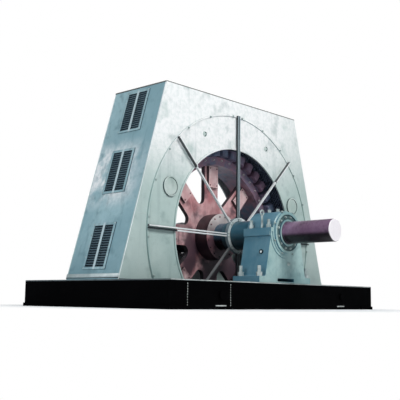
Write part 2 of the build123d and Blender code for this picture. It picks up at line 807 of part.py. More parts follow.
with BuildPart() as rotor_rim:
    with BuildSketch(end_plane(-1, -rim_width / 2)):
        Circle(rim_outer_radius)
        Circle(rim_inner_radius, mode=Mode.SUBTRACT)
    extrude(amount=rim_width)
rotor_rim.part.label = "rotor_rim"
export_step(rotor_rim.part, "parts/rotor_rim.step")

# Salient poles: a core on the rim and a wider shoe with a round face
core_reach = rotor_radius - rim_outer_radius
with BuildPart() as rotor_poles:
    with BuildSketch(end_plane(-1, -pole_half)):
        with PolarLocations((rim_outer_radius + rotor_radius) / 2, pole_count, start_angle=pole_start_angle):
            Rectangle(core_reach + shoe_thickness, pole_core_width)
        with PolarLocations(shoe_inner_radius, pole_count, start_angle=pole_start_angle):
            Rectangle(2 * shoe_thickness, shoe_width, align=(Align.MIN, Align.CENTER))
        Circle(rotor_radius, mode=Mode.INTERSECT)
        Circle(rim_outer_radius, mode=Mode.SUBTRACT)
    extrude(amount=pole_length)
rotor_poles.part.label = "rotor_poles"
export_step(rotor_poles.part, "parts/rotor_poles.step")

# Field coils: one rounded ring of copper strip round each pole core
with BuildPart() as coil_form:
    with BuildSketch(Plane.YZ.offset(coil_inner_radius)):
        RectangleRounded(coil_opening + 2 * coil_side, coil_opening_length + 2 * coil_end, coil_corner_radius)
        Rectangle(coil_opening, coil_opening_length, mode=Mode.SUBTRACT)
    extrude(amount=coil_outer_radius - coil_inner_radius)

with BuildPart(end_plane(-1, 0)) as field_coils:
    with PolarLocations(0, pole_count, start_angle=pole_start_angle):
        add(coil_form.part)
field_coils.part.label = "field_coils"
export_step(field_coils.part, "parts/field_coils.step")
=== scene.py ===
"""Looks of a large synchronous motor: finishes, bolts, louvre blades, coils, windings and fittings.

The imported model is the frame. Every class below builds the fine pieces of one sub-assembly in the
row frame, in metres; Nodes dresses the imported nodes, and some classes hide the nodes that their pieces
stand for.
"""
import logging
import math
from dataclasses import dataclass
from enum import Enum

import bpy
import numpy as np
from mathutils import Matrix, Vector


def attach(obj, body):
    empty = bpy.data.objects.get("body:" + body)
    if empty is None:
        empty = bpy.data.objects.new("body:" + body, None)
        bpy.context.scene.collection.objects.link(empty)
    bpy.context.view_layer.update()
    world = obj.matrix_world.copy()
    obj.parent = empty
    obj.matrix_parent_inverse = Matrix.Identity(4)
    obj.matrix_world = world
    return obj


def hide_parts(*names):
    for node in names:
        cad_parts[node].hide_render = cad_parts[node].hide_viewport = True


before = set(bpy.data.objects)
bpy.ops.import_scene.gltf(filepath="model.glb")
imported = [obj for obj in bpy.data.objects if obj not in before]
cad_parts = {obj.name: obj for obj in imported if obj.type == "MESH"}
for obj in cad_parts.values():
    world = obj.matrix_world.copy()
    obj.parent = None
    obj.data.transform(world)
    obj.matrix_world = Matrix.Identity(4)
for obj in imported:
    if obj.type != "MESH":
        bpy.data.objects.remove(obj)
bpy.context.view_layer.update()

log = logging.getLogger("motor")
logging.basicConfig(level=logging.INFO, format="%(name)s %(message)s")

Triple = tuple[float, float, float]
Screen = tuple[int, int, int]
Socket = bpy.types.NodeSocket
AXIS_HEIGHT = 1.38
AXIS_POINT = (0.0, 0.0, AXIS_HEIGHT)
SLOPE_FOOT = (2.96, 0.47)
SLOPE_RUN = (1.02, 3.573)
ENDS = (-1, 1)
SIDES = np.array([-1, 1])
STRUTS = np.arange(8) * 45.0
SUNK = 0.001
SQUARE = np.array([[-1, -1], [1, -1], [1, 1], [-1, 1]], float)


class Body(Enum):
    """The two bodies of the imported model."""

    FRAME = "frame"
    ROTOR = "rotor"


class Metal(Enum):
    """How metallic the skin of a finish is."""

    PAINT = 0.0
    WORN = 0.35
    BARE = 0.9


def srgb(screen: Screen) -> Triple:
    """Turns a screen colour into the linear colour that shaders take.

    Args:
        screen: Red, green and blue from 0 to 255.

    Returns:
        The linear red, green and blue.
    """
    part = np.array(screen) / 255
    return tuple(np.where(part <= 0.04045, part / 12.92, ((part + 0.055) / 1.055) ** 2.4).tolist())


class Graph:
    """Adds and joins the nodes of one shader tree."""

    def __init__(self, tree: bpy.types.NodeTree) -> None:
        """Takes the tree of a material or of the world and empties it."""
        self.tree = tree
        tree.nodes.clear()

    def add(self, kind: str, inputs: dict[int | str, object] | None = None,
            **settings: object) -> bpy.types.Node:
        """Adds one node.

        Args:
            kind: Node type without its common prefix.
            inputs: A constant or an output socket for each input, by number or name.
            settings: Properties set on the node.

        Returns:
            The new node.
        """
        node = self.tree.nodes.new(f"ShaderNode{kind}")
        for key, value in settings.items():
            setattr(node, key, value)
        for key, value in (inputs or {}).items():
            target = node.inputs[key]
            if isinstance(value, Socket):
                self.tree.links.new(value, target)
            else:
                target.default_value = (*value, 1.0) if target.type == "RGBA" else value
        return node

    def reckon(self, operation: str, *values: Socket | float) -> Socket:
        """Does one sum of one to three values; COMPARE tells if the first two lie within the third."""
        return self.add("Math", dict(enumerate(values)), operation=operation).outputs[0]

    def times(self, first: Socket | float, *others: Socket | float) -> Socket:
        """Multiplies values.

        Args:
            first: Number or socket.
            others: Numbers or sockets.

        Returns:
            The output socket.
        """
        for other in others:
            first = self.reckon("MULTIPLY", first, other)
        return first

    def distance(self, across: Socket, rise: Socket) -> Socket:
        """Length of a line from its two runs."""
        return self.reckon("SQRT", self.reckon("ADD", self.times(across, across), self.times(rise, rise)))

    def between(self, value: Socket, low: float, high: float) -> Socket:
        """One between two values, nought outside them."""
        return self.times(self.reckon("GREATER_THAN", value, low), self.reckon("LESS_THAN", value, high))

    def step(self, value: Socket, low: float, high: float, top: float = 1.0) -> Socket:
        """Smooth step from nought at the low value to top at the high one."""
        inputs = {"Value": value, "From Min": low, "From Max": high, "To Max": top}
        return self.add("MapRange", inputs, interpolation_type="SMOOTHSTEP").outputs["Result"]


@dataclass(frozen=True)
class Cloud:
    """A noise, and the two of its values between which a coat comes up."""

    scale: float
    detail: float
    low: float
    high: float
    stretch: Triple = (1.0, 1.0, 1.0)


@dataclass(frozen=True)
class Bloom:
    """A painted glare: a pale cloud of light's sheen round one point of a wall; start is the place along Y
    where it comes up.
    """

    across: float
    height: float
    reach: float
    cloud: Cloud = Cloud(1.6, 6.0, 0.2, 0.44)
    start: float | None = None


@dataclass(frozen=True)
class Band:
    """A ring round the shaft line between two radii and two distances from the middle.

    Its paint may fade in between two heights; on the rotor's hub the pale band is painted light and its fade
    below is painted shade.
    """

    inner: float
    outer: float
    near: float
    far: float
    tint: Screen = (0, 0, 0)
    fade: tuple[float, float] | None = None


MOTTLE = Cloud(13.0, 9.0, 0.42, 0.62)
STREAKS = Cloud(9.0, 3.0, 0.54, 0.74, (1.0, 1.0, 0.07))
LATHE_MARKS = Cloud(60.0, 2.0, 0.4, 0.7, (0.02, 1.0, 0.02))
SPECKS = Cloud(38.0, 6.0, 0.6, 0.78)
LOW_DARKENING = Cloud(2.1, 4.0, 0.66, 0.5)
OVER_SHIELD = Band(1.68, 2.5, 0.6, 0.9)
# Pale colour of the painted glare.
GLARE_WHITE = (246, 247, 247)
# Grey of the painted shade on the upright struts.
UPRIGHT_SHADE = (132, 152, 160)
# Colour of the painted shade on the slotted rows of the louvre panels.
SLOT_SHADE = (18, 46, 66)
BAR_PALE = (200, 214, 218)


@dataclass(frozen=True)
class Finish:
    """One surface finish: its screen colours, and how much it takes of each coat.

    A range holds the two values that a coat comes up between and its largest share. The values of
    ground are heights, those of under are the normal's Z, and lens is a place on a pedestal and a radius.
    Ground darkens towards the floor; on the rotor, its rim and pads and on the strut rings that darkening is
    painted shade. Under is painted shade on undersides, and lens keeps a pale painted glint in the sight
    glass.
    """

    name: str
    main: Screen
    second: Screen
    # The dirt colour is also the colour of the painted shade in the coats that paint shade.
    dirt: Screen
    roughness: float = 0.5
    metal: Metal = Metal.PAINT
    patch: float = 1.3
    patch_range: Triple = (0.38, 0.68, 1.0)
    mottle: float = 0.3
    dirt_scale: float = 5.0
    dirt_range: Triple = (0.52, 0.8, 0.6)
    streak: float = 0.0
    turned: float = 0.0
    speckle: float = 0.12
    grain: float = 90.0
    bump: float = 0.08
    shine: float = 0.5
    ground: Triple | None = None
    # Painted shade on undersides: the normal's Z that it comes up between, and its share.
    under: Triple | None = None
    # Share of painted shade on the flanks, the faces that turn away from edge_axis; below it, the colour of
    # that shade.
    flank_shade: float = 0.0
    edge_axis: str = "Y"
    flank_shade_colour: Screen | None = None
    face_colour: Screen | None = None
    face_level: float = 0.0
    # Painted glare, a pale sheen of light on a wall.
    glare: Bloom | None = None
    band: Band | None = None
    lens: Triple | None = None
    slats: bool = False
    struts: bool = False

    def material(self) -> bpy.types.Material:
        """Gives the node material, made once and then found by name.

        Returns:
            The material.
        """
        label = f"look_{self.name}"
        made = bpy.data.materials.get(label)
        if made is None:
            made = bpy.data.materials.new(label)
            made.use_nodes = True
            Coats(self, made.node_tree).build()
        return made


class Coats(Graph):
    """The coats of one finish, laid one over the other, all in object coordinates."""

    patch_detail = 5.0
    dirt_detail = 7.0
    glare_squeeze = 0.4
    glare_rise = 0.8
    glare_full = 0.4
    band_share = 0.9
    slat_heights = (1.046, 2.4, 3.557)
    slat_rise = 0.366
    slat_columns = (0.028, 0.247)
    slat_share = 0.68
    bar_half = 0.026
    bar_share = 0.8
    upright_half = 0.06
    upright_share = 0.85
    lower_bar = (AXIS_HEIGHT - 0.025, 0.02)
    shadow_height = AXIS_HEIGHT - 0.2
    shadow_share = 0.8
    flank_range = (0.9, 0.3)
    grain_detail = 6.0
    grain_rough = 0.18
    relief_depth = 0.004
    broad_scale = 7.0
    broad_detail = 2.0
    broad_share = 1.5

    def __init__(self, finish: Finish, tree: bpy.types.NodeTree) -> None:
        """Starts with patches of the two main colours.

        Args:
            finish: The finish.
            tree: Tree of its material.
        """
        super().__init__(tree)
        self.finish = finish
        self.where = self.add("TexCoord").outputs["Object"]
        self.x, self.y, self.z = self.add("SeparateXYZ", {0: self.where}).outputs
        self.away = self.reckon("ABSOLUTE", self.y)
        self.flanks: Socket | None = None
        self.colour: Socket | Triple = srgb(finish.main)
        low, high, top = finish.patch_range
        self.over(self.cloud(Cloud(finish.patch, self.patch_detail, low, high), top), finish.second)

    def build(self) -> None:
        """Lays the coats in order, then the skin."""
        self.glare()
        self.weather()
        self.places()
        self.shades()
        self.skin()

    def over(self, share: Socket, tint: Screen) -> None:
        """Lays a share of a screen colour over the coats so far."""
        inputs = {0: share, 6: self.colour, 7: srgb(tint)}
        self.colour = self.add("Mix", inputs, data_type="RGBA").outputs[2]

    def noise(self, scale: float, detail: float, stretch: Triple = (1.0, 1.0, 1.0)) -> Socket:
        """Noise in space.

        Args:
            scale: Cells to a metre.
            detail: Octaves.
            stretch: Factor on each axis before the noise.

        Returns:
            The output socket, from 0 to 1.
        """
        mapping = self.add("Mapping", {"Vector": self.where, "Scale": stretch})
        inputs = {"Vector": mapping.outputs[0], "Scale": scale, "Detail": detail}
        return self.add("TexNoise", inputs).outputs["Fac"]

    def cloud(self, cloud: Cloud, top: float = 1.0) -> Socket:
        """Share of a coat, up to top, that lies where a noise is high."""
        return self.step(self.noise(cloud.scale, cloud.detail, cloud.stretch), cloud.low, cloud.high, top)

    def ring(self, band: Band) -> Socket:
        """One inside a band, nought outside it.

        Args:
            band: The band.

        Returns:
            The output socket, 0 or 1.
        """
        radius = self.distance(self.x, self.reckon("SUBTRACT", self.z, AXIS_HEIGHT))
        return self.times(self.between(radius, band.inner, band.outer),
                          self.between(self.away, band.near, band.far))

    def normal(self, output: str, axis: str) -> Socket:
        """How far one kind of normal points along an axis, from -1 to 1."""
        return self.add("SeparateXYZ", {0: self.add("NewGeometry").outputs[output]}).outputs[axis]

    def glare(self) -> None:
        """Lays the painted glare, a pale sheen of light: the cloud times a falloff that is slower along X
        than in height.
        """
        glare = self.finish.glare
        if glare is None:
            return
        across = self.times(self.reckon("SUBTRACT", self.x, glare.across), self.glare_squeeze)
        off = self.distance(across, self.reckon("SUBTRACT", self.z, glare.height))
        share = self.cloud(glare.cloud)
        if glare.start is not None:
            share = self.times(share, self.step(self.y, glare.start, glare.start + self.glare_rise))
        self.over(self.times(share, self.step(off, glare.reach, self.glare_full * glare.reach)), GLARE_WHITE)

    def weather(self) -> None:
        """Lays mottle, dirt, streaks, lathe marks and specks, each with a noise of its own."""
        look = self.finish
        low, high, top = look.dirt_range
        dirt = Cloud(look.dirt_scale, self.dirt_detail, low, high)
        for cloud, share, tint in ((MOTTLE, look.mottle, look.second), (dirt, top, look.dirt),
                                   (STREAKS, look.streak, look.dirt), (LATHE_MARKS, look.turned, look.dirt),
                                   (SPECKS, look.speckle, look.dirt)):
            if share:
                self.over(self.cloud(cloud, share), tint)

    def places(self) -> None:
        """Lays what belongs to one place: band, low darkening, slats, struts, sight glass, face of the
        shaft; several of these paint light and shade.
        """
        look = self.finish
        if look.band:
            share = self.times(self.ring(look.band), self.band_share)
            if look.band.fade:
                share = self.times(share, self.step(self.z, *look.band.fade))
            self.over(share, look.band.tint)
        # Darker towards the ground; on the rotor, its rim and pads and on the strut rings this is painted
        # shade.
        if look.ground:
            foot, head, top = look.ground
            self.over(self.times(self.step(self.z, head, foot, top), self.cloud(LOW_DARKENING)), look.dirt)
        if look.slats:
            self.lay_slats()
        if look.struts:
            self.lay_struts()
        # Sight glass: a painted glint inside the radius, the dark colour around it.
        if look.lens:
            along, height, radius = look.lens
            off = self.distance(self.reckon("SUBTRACT", self.away, along),
                                self.reckon("SUBTRACT", self.z, height))
            self.over(self.reckon("GREATER_THAN", off, radius), look.dirt)
        if look.face_colour:
            self.over(self.reckon("LESS_THAN", self.y, look.face_level), look.face_colour)

    def lay_slats(self) -> None:
        """Lays painted shade on the slotted rows of the three panels, and a pale bar between their columns.
        """
        rows = 0.0
        for height in self.slat_heights:
            rows = self.reckon("MAXIMUM", rows, self.reckon("COMPARE", self.z, height, self.slat_rise))
        columns = self.between(self.away, *self.slat_columns)
        self.over(self.times(columns, rows, self.slat_share), SLOT_SHADE)
        middle = self.reckon("COMPARE", self.y, 0.0, self.bar_half)
        self.over(self.times(middle, self.bar_share), BAR_PALE)

    def lay_struts(self) -> None:
        """Lays painted shade: the level pair's dark lower bar over the shields as their shadow, the greyer
        uprights, dark under the shaft.
        """
        upright = self.reckon("COMPARE", self.x, 0.0, self.upright_half)
        over_shield = self.ring(OVER_SHIELD)
        # Painted shadow of the level struts on the shields, as a dark lower bar.
        self.over(self.times(self.reckon("COMPARE", self.z, *self.lower_bar), over_shield), self.finish.dirt)
        self.over(self.times(upright, self.upright_share), UPRIGHT_SHADE)
        low = self.reckon("LESS_THAN", self.z, self.shadow_height)
        self.over(self.times(low, self.shadow_share), self.finish.dirt)
        self.flanks = self.reckon("MAXIMUM", upright, over_shield)

    def shades(self) -> None:
        """Lays painted shade: dark flanks where a face turns away from one axis, and a dark underside."""
        look = self.finish
        # Painted shade on the flanks, in its own colour or else the dirt colour.
        if look.flank_shade:
            facing = self.reckon("ABSOLUTE", self.normal("True Normal", look.edge_axis))
            flank = self.step(facing, *self.flank_range, look.flank_shade)
            if self.flanks is not None:
                flank = self.times(flank, self.flanks)
            self.over(flank, look.flank_shade_colour or look.dirt)
        # Painted shade on faces that turn downwards, in the dirt colour.
        if look.under:
            self.over(self.step(self.normal("Normal", "Z"), *look.under), look.dirt)

    def skin(self) -> None:
        """Adds the shader, with fine grain in its roughness and fine and broad grain in its relief."""
        look = self.finish
        fine = self.noise(look.grain, self.grain_detail)
        rough = self.reckon("MULTIPLY_ADD", fine, self.grain_rough, look.roughness - self.grain_rough / 2)
        broad = self.noise(self.broad_scale, self.broad_detail)
        height = self.reckon("ADD", fine, self.times(broad, self.broad_share))
        relief = self.add("Bump", {"Strength": look.bump, "Distance": self.relief_depth, "Height": height})
        shader = self.add("BsdfPrincipled", {
            "Base Color": self.colour, "Roughness": rough, "Metallic": look.metal.value,
            "Specular IOR Level": look.shine, "Normal": relief.outputs[0]})
        self.add("OutputMaterial", {"Surface": shader.outputs[0]})


# Painted glare: a sheen of light on the upper front and shields, and on the middle of the left side.
FRONT_GLARE = Bloom(-1.0, 3.9, 2.0)
SIDE_GLARE = Bloom(-2.42, 2.36, 0.72, Cloud(2.6, 6.0, 0.34, 0.56), -0.8)

# The dark flank coats below are painted shade: on shields, inspection covers and eyes, struts, strut rings,
# louvre edges, rotor spider and arm pads, and the teal flanks of the pedestals.
FRONT_PAINT = Finish(
    "front_paint", (192, 208, 204), (176, 196, 193), (122, 148, 146), 0.34, patch=0.7,
    patch_range=(0.4, 0.7, 0.9), dirt_scale=3.4, dirt_range=(0.54, 0.74, 0.36), streak=0.15, speckle=0.3,
    ground=(0.2, 1.5, 0.25), glare=FRONT_GLARE, mottle=0.2)
# The side walls and roof take a darker, bluer copy of the front paint: painted shade.
SIDE_PAINT = Finish(
    "side_paint", (168, 198, 204), (138, 172, 181), (86, 118, 128), 0.36, patch=0.8,
    patch_range=(0.34, 0.66, 1.0), streak=0.3, speckle=0.3, ground=(0.45, 1.6, 0.35), glare=SIDE_GLARE)
SHIELD_PAINT = Finish(
    "shield_paint", (190, 208, 204), (170, 192, 188), (110, 140, 140), 0.34, patch=0.9,
    patch_range=(0.4, 0.7, 0.9), streak=0.2, dirt_scale=3.8, dirt_range=(0.54, 0.74, 0.36), speckle=0.3,
    ground=(0.2, 1.5, 0.3), flank_shade=0.5, glare=FRONT_GLARE, mottle=0.2)
COVER_PAINT = Finish(
    "cover_paint", (226, 234, 231), (176, 196, 190), (60, 80, 80), 0.36, patch=0.9, dirt_scale=3.0,
    dirt_range=(0.56, 0.8, 0.4), ground=(0.2, 3.2, 0.3), flank_shade=1.0)
# The struts take painted shadow and painted shade from lay_struts and their dark flanks.
STRUT_PAINT = Finish(
    "strut_paint", (240, 243, 243), (206, 212, 214), (24, 30, 36), 0.4, dirt_range=(0.6, 0.84, 0.2),
    speckle=0.1, flank_shade=0.94, struts=True)
# The strut rings' darkening towards the ground and their dark flanks are painted shade.
RING_PAINT = Finish(
    "ring_paint", (228, 234, 234), (186, 198, 200), (70, 86, 92), 0.4, flank_shade=0.75,
    flank_shade_colour=(86, 110, 120), ground=(1.0, 1.5, 0.5))
TRIM_PAINT = Finish(
    "trim_paint", (244, 248, 248), (214, 222, 222), (120, 136, 138), 0.4, dirt_range=(0.6, 0.84, 0.2),
    speckle=0.1)
LOUVRE_PAINT = Finish(
    "louvre_paint", (166, 194, 200), (140, 172, 180), (86, 112, 122), 0.42, streak=0.35, flank_shade=0.9,
    edge_axis="X", flank_shade_colour=(40, 66, 80), slats=True)
SHADOW_PAINT = Finish("shadow_paint", (14, 34, 48), (10, 24, 36), (6, 12, 18), 0.7)
BASE_BLACK = Finish(
    "base_black", (2, 2, 3), (4, 4, 5), (22, 22, 21), 0.8, dirt_range=(0.6, 0.9, 0.2), speckle=0.06,
    bump=0.05, shine=0.02)
DECK_PAINT = Finish("deck_paint", (96, 106, 108), (74, 84, 88), (40, 44, 46), 0.6)
CASING_PAINT = Finish("casing_paint", (84, 98, 102), (66, 78, 82), (38, 42, 44), 0.6)
CORE_STEEL = Finish("core_steel", (104, 114, 134), (76, 88, 108), (28, 30, 40), 0.5, Metal.WORN, turned=0.6)
VARNISH = Finish("winding_varnish", (112, 124, 148), (84, 96, 120), (34, 38, 50), 0.4, dirt_scale=14.0)
COIL_VARNISH = Finish(
    "coil_varnish", (104, 124, 152), (136, 108, 130), (56, 60, 78), 0.42, patch=0.9,
    patch_range=(0.44, 0.6, 1.0), dirt_scale=9.0)
# The darkening towards the ground on the rotor spider, arm pads and rim is painted shade.
ROTOR_RED = Finish(
    "rotor_red", (240, 200, 202), (188, 120, 124), (72, 54, 66), 0.42, patch=1.6,
    patch_range=(0.38, 0.66, 1.0), dirt_scale=3.4, dirt_range=(0.48, 0.7, 0.8), speckle=0.4, flank_shade=0.92,
    flank_shade_colour=(36, 26, 36), ground=(1.2, 2.0, 0.93),
    # The pale upper hub face is painted light, fading out between 1.6 m and 1.28 m into painted shade.
    band=Band(0.26, 0.456, 0.345, 0.36, (234, 228, 226), (1.28, 1.6)))
ARM_PAD = Finish(
    "arm_pad", (243, 216, 216), (208, 158, 160), (86, 60, 70), 0.42, patch=1.6,
    patch_range=(0.42, 0.7, 0.9), dirt_range=(0.56, 0.8, 0.4), flank_shade=0.9, flank_shade_colour=(36, 26, 36),
    ground=(1.05, 1.8, 0.8))
RIM_RED = Finish(
    "rim_red", (108, 122, 148), (184, 122, 132), (42, 48, 64), 0.4, patch=1.1,
    patch_range=(0.42, 0.72, 0.9), dirt_scale=3.0, dirt_range=(0.48, 0.68, 0.75), speckle=0.4,
    ground=(1.05, 1.75, 0.6))
POLE_STEEL = Finish("pole_steel", (136, 122, 144), (108, 112, 136), (48, 50, 66), 0.5)
BEARING_PAINT = Finish(
    "bearing_paint", (166, 194, 192), (132, 168, 170), (66, 98, 106), 0.34, patch=2.0, bump=0.3, grain=40.0,
    streak=0.25, dirt_range=(0.54, 0.8, 0.45), ground=(0.45, 0.8, 0.2), flank_shade=0.72,
    flank_shade_colour=(18, 98, 130), band=Band(0.243, 0.336, 1.915, 1.94, (62, 88, 90)))
BEARING_METAL = Finish("bearing_metal", (176, 170, 156), (150, 142, 128), (84, 78, 70), 0.35, Metal.BARE)
FASTENER = Finish("fasteners", (198, 208, 206), (150, 166, 166), (64, 70, 72), 0.35, Metal.WORN, patch=9.0)
PAINTED_BOLT = Finish("painted_bolts", (176, 192, 188), (132, 150, 150), (62, 74, 76), 0.4, patch=9.0)
RED_BOLT = Finish("red_bolts", (226, 222, 224), (190, 180, 184), (70, 44, 50), 0.38, patch=9.0)
# The shaft, and the sleeves below it, take painted shade on their undersides.
SHAFT_STEEL = Finish(
    "shaft_steel", (134, 106, 134), (98, 66, 94), (8, 5, 10), 0.28, turned=0.12, bump=0.02, shine=0.4,
    face_colour=(242, 237, 241), face_level=-2.934, under=(-0.02, -0.42, 0.98),
    band=Band(0.2, 0.27, 0.345, 1.3, (58, 96, 116)))
SLEEVE_PAINT = Finish(
    "sleeve_paint", (64, 118, 134), (48, 94, 112), (12, 20, 26), 0.32, under=(0.4, -0.6, 0.85))
# The pale middle of the sight glass is a painted glint; outside the lens radius it turns to the dark colour.
GLASS = Finish(
    "sight_glass", (240, 244, 244), (214, 222, 222), (20, 40, 50), 0.12, patch=12.0,
    dirt_range=(0.7, 0.9, 0.3), lens=(1.725, 1.018, 0.021))
SEALANT = Finish("sealant", (56, 66, 66), (44, 52, 52), (24, 28, 28), 0.7, patch=7.0)
ROOF_EDGE = Finish("roof_edge", (96, 100, 98), (76, 78, 76), (44, 42, 38), 0.6, patch=3.0)
SILL_PAINT = Finish("sill_paint", (208, 216, 216), (178, 192, 192), (120, 138, 142), 0.5, patch=3.0)
PALE_EDGE = Finish("pale_edge", (206, 212, 210), (150, 156, 152), (70, 72, 72), 0.55, patch=3.0)

NODE_FINISHES: dict[Finish, str] = {
    ARM_PAD: "arm_pads",
    BASE_BLACK: "base_long_beams base_end_beams base_inner_beams base_cross_beams base_lugs",
    BEARING_METAL: "bearing_shells",
    BEARING_PAINT: "front_bearing_cap rear_bearing_cap front_end_cover rear_end_cover"
                   " front_pedestal rear_pedestal",
    CASING_PAINT: "pit_casing_front pit_casing_rear pit_casing_tub stator_feet",
    COIL_VARNISH: "field_coils",
    CORE_STEEL: "stator_core",
    COVER_PAINT: "inspection_covers",
    DECK_PAINT: "base_deck",
    FASTENER: "cap_fittings pedestal_studs",
    FRONT_PAINT: "front_plate_lower front_plate_upper rear_plate_lower rear_plate_upper",
    GLASS: "sight_glasses",
    LOUVRE_PAINT: "left_louvres right_louvres",
    POLE_STEEL: "rotor_poles",
    RIM_RED: "rotor_rim",
    RING_PAINT: "front_strut_ring rear_strut_ring",
    ROTOR_RED: "rotor_spider",
    SHAFT_STEEL: "shaft",
    SHIELD_PAINT: "front_shield_lower front_shield_upper rear_shield_lower rear_shield_upper",
    SIDE_PAINT: "housing_left_side housing_right_side housing_roof",
    SLEEVE_PAINT: "shaft_sleeves",
    STRUT_PAINT: "front_struts rear_struts",
    VARNISH: "front_winding rear_winding",
}


@dataclass
class Surface:
    """Points and faces of a closed surface; faces is a list of arrays with one row per face."""

    points: np.ndarray
    faces: list[np.ndarray]

    def moved(self, turn: np.ndarray, shift: np.ndarray) -> "Surface":
        """Copies the surface to every place at once: point times turn plus shift.

        Args:
            turn: One or many 3 by 3 arrays whose columns are the new axes.
            shift: One or many points.

        Returns:
            One surface with all the copies.
        """
        shift = np.atleast_2d(np.asarray(shift, float))
        turn = np.broadcast_to(np.asarray(turn, float), (len(shift), 3, 3))
        points = np.einsum("mij,nj->mni", turn, self.points) + shift[:, None, :]
        jump = np.arange(len(shift))[:, None, None] * len(self.points)
        faces = [(f[None] + jump).reshape(-1, f.shape[1]) for f in self.faces]
        return Surface(points.reshape(-1, 3), faces)


def joined(parts: list[Surface]) -> Surface:
    """Puts several surfaces into one.

    Args:
        parts: The surfaces.

    Returns:
        One surface.
    """
    starts = np.cumsum([0] + [len(p.points) for p in parts[:-1]])
    faces = [f + start for part, start in zip(parts, starts) for f in part.faces]
    return Surface(np.vstack([p.points for p in parts]), faces)


def wrapped(rows: np.ndarray, closed: bool) -> Surface:
    """Skins a stack of point rings with quads, and closes its ends with flat faces.

    Args:
        rows: Array of rings by points by 3; rings run so that their turning side faces along the stack.
        closed: True if the last ring joins the first one, as in a hoop.

    Returns:
        The closed surface.
    """
    count, ring = rows.shape[:2]
    number = np.arange(count * ring).reshape(count, ring)
    upper = np.roll(number, -1, axis=0) if closed else number[1:]
    lower = number if closed else number[:-1]
    quads = np.stack([lower, np.roll(lower, -1, 1), np.roll(upper, -1, 1), upper], -1).reshape(-1, 4)
    faces = [quads]
    if not closed:
        faces += [number[0][::-1][None], number[-1][None]]
    return Surface(rows.reshape(-1, 3), faces)


def turned(profile: list[tuple[float, float]], sides: int, closed: bool = False) -> Surface:
    """Turns a profile about Z: each of its points is a ring of that radius at that height.

    Args:
        profile: Radius and height, from the bottom face to the top face or anticlockwise round a section.
        sides: Points on each ring.
        closed: True for a ring with a hole, whose last profile point joins the first one.

    Returns:
        The closed surface.
    """
    angle = np.linspace(0, 2 * np.pi, sides, endpoint=False)
    radius, height = (part[:, None] for part in np.array(profile, float).T)
    rows = np.broadcast_arrays(radius * np.cos(angle), radius * np.sin(angle), height)
    return wrapped(np.stack(rows, -1), closed)


def block(size: Triple, chamfer: float = 0.0) -> Surface:
    """Box centred on the origin with its upper edges cut back.

    Args:
        size: Length along each axis.
        chamfer: Cut on the four upper edges.

    Returns:
        The closed surface.
    """
    x, y, z = (value / 2 for value in size)
    levels = [(x, y, -z), (x, y, z - chamfer), (x - chamfer, y - chamfer, z)]
    if not chamfer:
        levels = levels[:1] + [(x, y, z)]
    rows = np.array([np.column_stack([SQUARE * (a, b), np.full(4, c)]) for a, b, c in levels])
    return wrapped(rows, False)


def swept(path: np.ndarray, outline: np.ndarray, guide: np.ndarray, closed: bool = False) -> Surface:
    """Bar along a path: each ring lies square to the mean of the two runs that meet there.

    Args:
        path: Points of the path.
        outline: Points of the section: how far square to the guide, and how far along it.
        guide: Direction that the section is laid out by, one for all points or one for each.
        closed: True for a loop.

    Returns:
        The closed surface.
    """
    along = np.roll(path, -1, 0) - np.roll(path, 1, 0) if closed else np.gradient(path, axis=0)
    along /= np.linalg.norm(along, axis=1)[:, None]
    first = np.cross(along, guide)
    first /= np.linalg.norm(first, axis=1)[:, None]
    second = np.cross(along, first)
    rows = path[:, None] + outline[None, :, :1] * first[:, None] + outline[None, :, 1:] * second[:, None]
    return wrapped(rows, closed)


def tube(path: np.ndarray, radius: float, sides: int = 8, closed: bool = False) -> Surface:
    """Round bar along a path, guided by the axis that the path runs along least.

    Args:
        path: Points of the path.
        radius: Radius of the bar.
        sides: Points on each ring.
        closed: True for a loop.

    Returns:
        The closed surface.
    """
    angle = np.linspace(0, 2 * np.pi, sides, endpoint=False)
    circle = np.stack([np.cos(angle), np.sin(angle)], -1)
    return swept(path, circle * radius, np.eye(3)[int(np.argmin(path.std(0)))], closed)


def bolt(across: float, washer: float = 1.32, height: float = 0.62) -> Surface:
    """Hexagon head on a washer, standing on the plane z = 0.

    Args:
        across: Width over the corners.
        washer: Washer width as a share of the head's.
        height: Head height as a share of its width.

    Returns:
        The closed surface, of a few dozen faces.
    """
    r = across / 2
    rim = r * washer
    top = across * height
    plate = turned([(rim, -SUNK), (rim, 0.1 * r), (rim * 0.97, 0.14 * r)], 12)
    head = turned([(r, 0.0), (r, top * 0.86), (r * 0.86, top)], 6)
    return joined([plate, head])


def end_turn(end: int) -> np.ndarray:
    """Axes of the plane that faces out of one end: across, up and outwards.

    Args:
        end: -1 for the front, 1 for the rear.

    Returns:
        The 3 by 3 array with the axes as columns.
    """
    return np.array([[-end, 0, 0], [0, 0, end], [0, 1, 0]], float)


def polar(radius: np.ndarray | float, degrees: np.ndarray | float) -> tuple[np.ndarray, np.ndarray]:
    """Distance across and height above the ground of points round the shaft line.

    Args:
        radius: Distance from the shaft line.
        degrees: Angle, anticlockwise as seen from outside an end.

    Returns:
        The distances and the heights.
    """
    angle = np.radians(degrees)
    return radius * np.cos(angle), AXIS_HEIGHT + radius * np.sin(angle)


def at_end(end: int, across: np.ndarray | float, out: float, height: np.ndarray | float) -> np.ndarray:
    """Points given from the end's own side, with height above the ground.

    Args:
        end: -1 for the front, 1 for the rear.
        across: Distance to the right as seen from outside that end.
        out: Distance from the middle.
        height: Height above the ground.

    Returns:
        The point, or one row per point.
    """
    across, out, height = np.broadcast_arrays(across, out, height)
    return np.stack([-end * across, end * out, height], -1).astype(float)


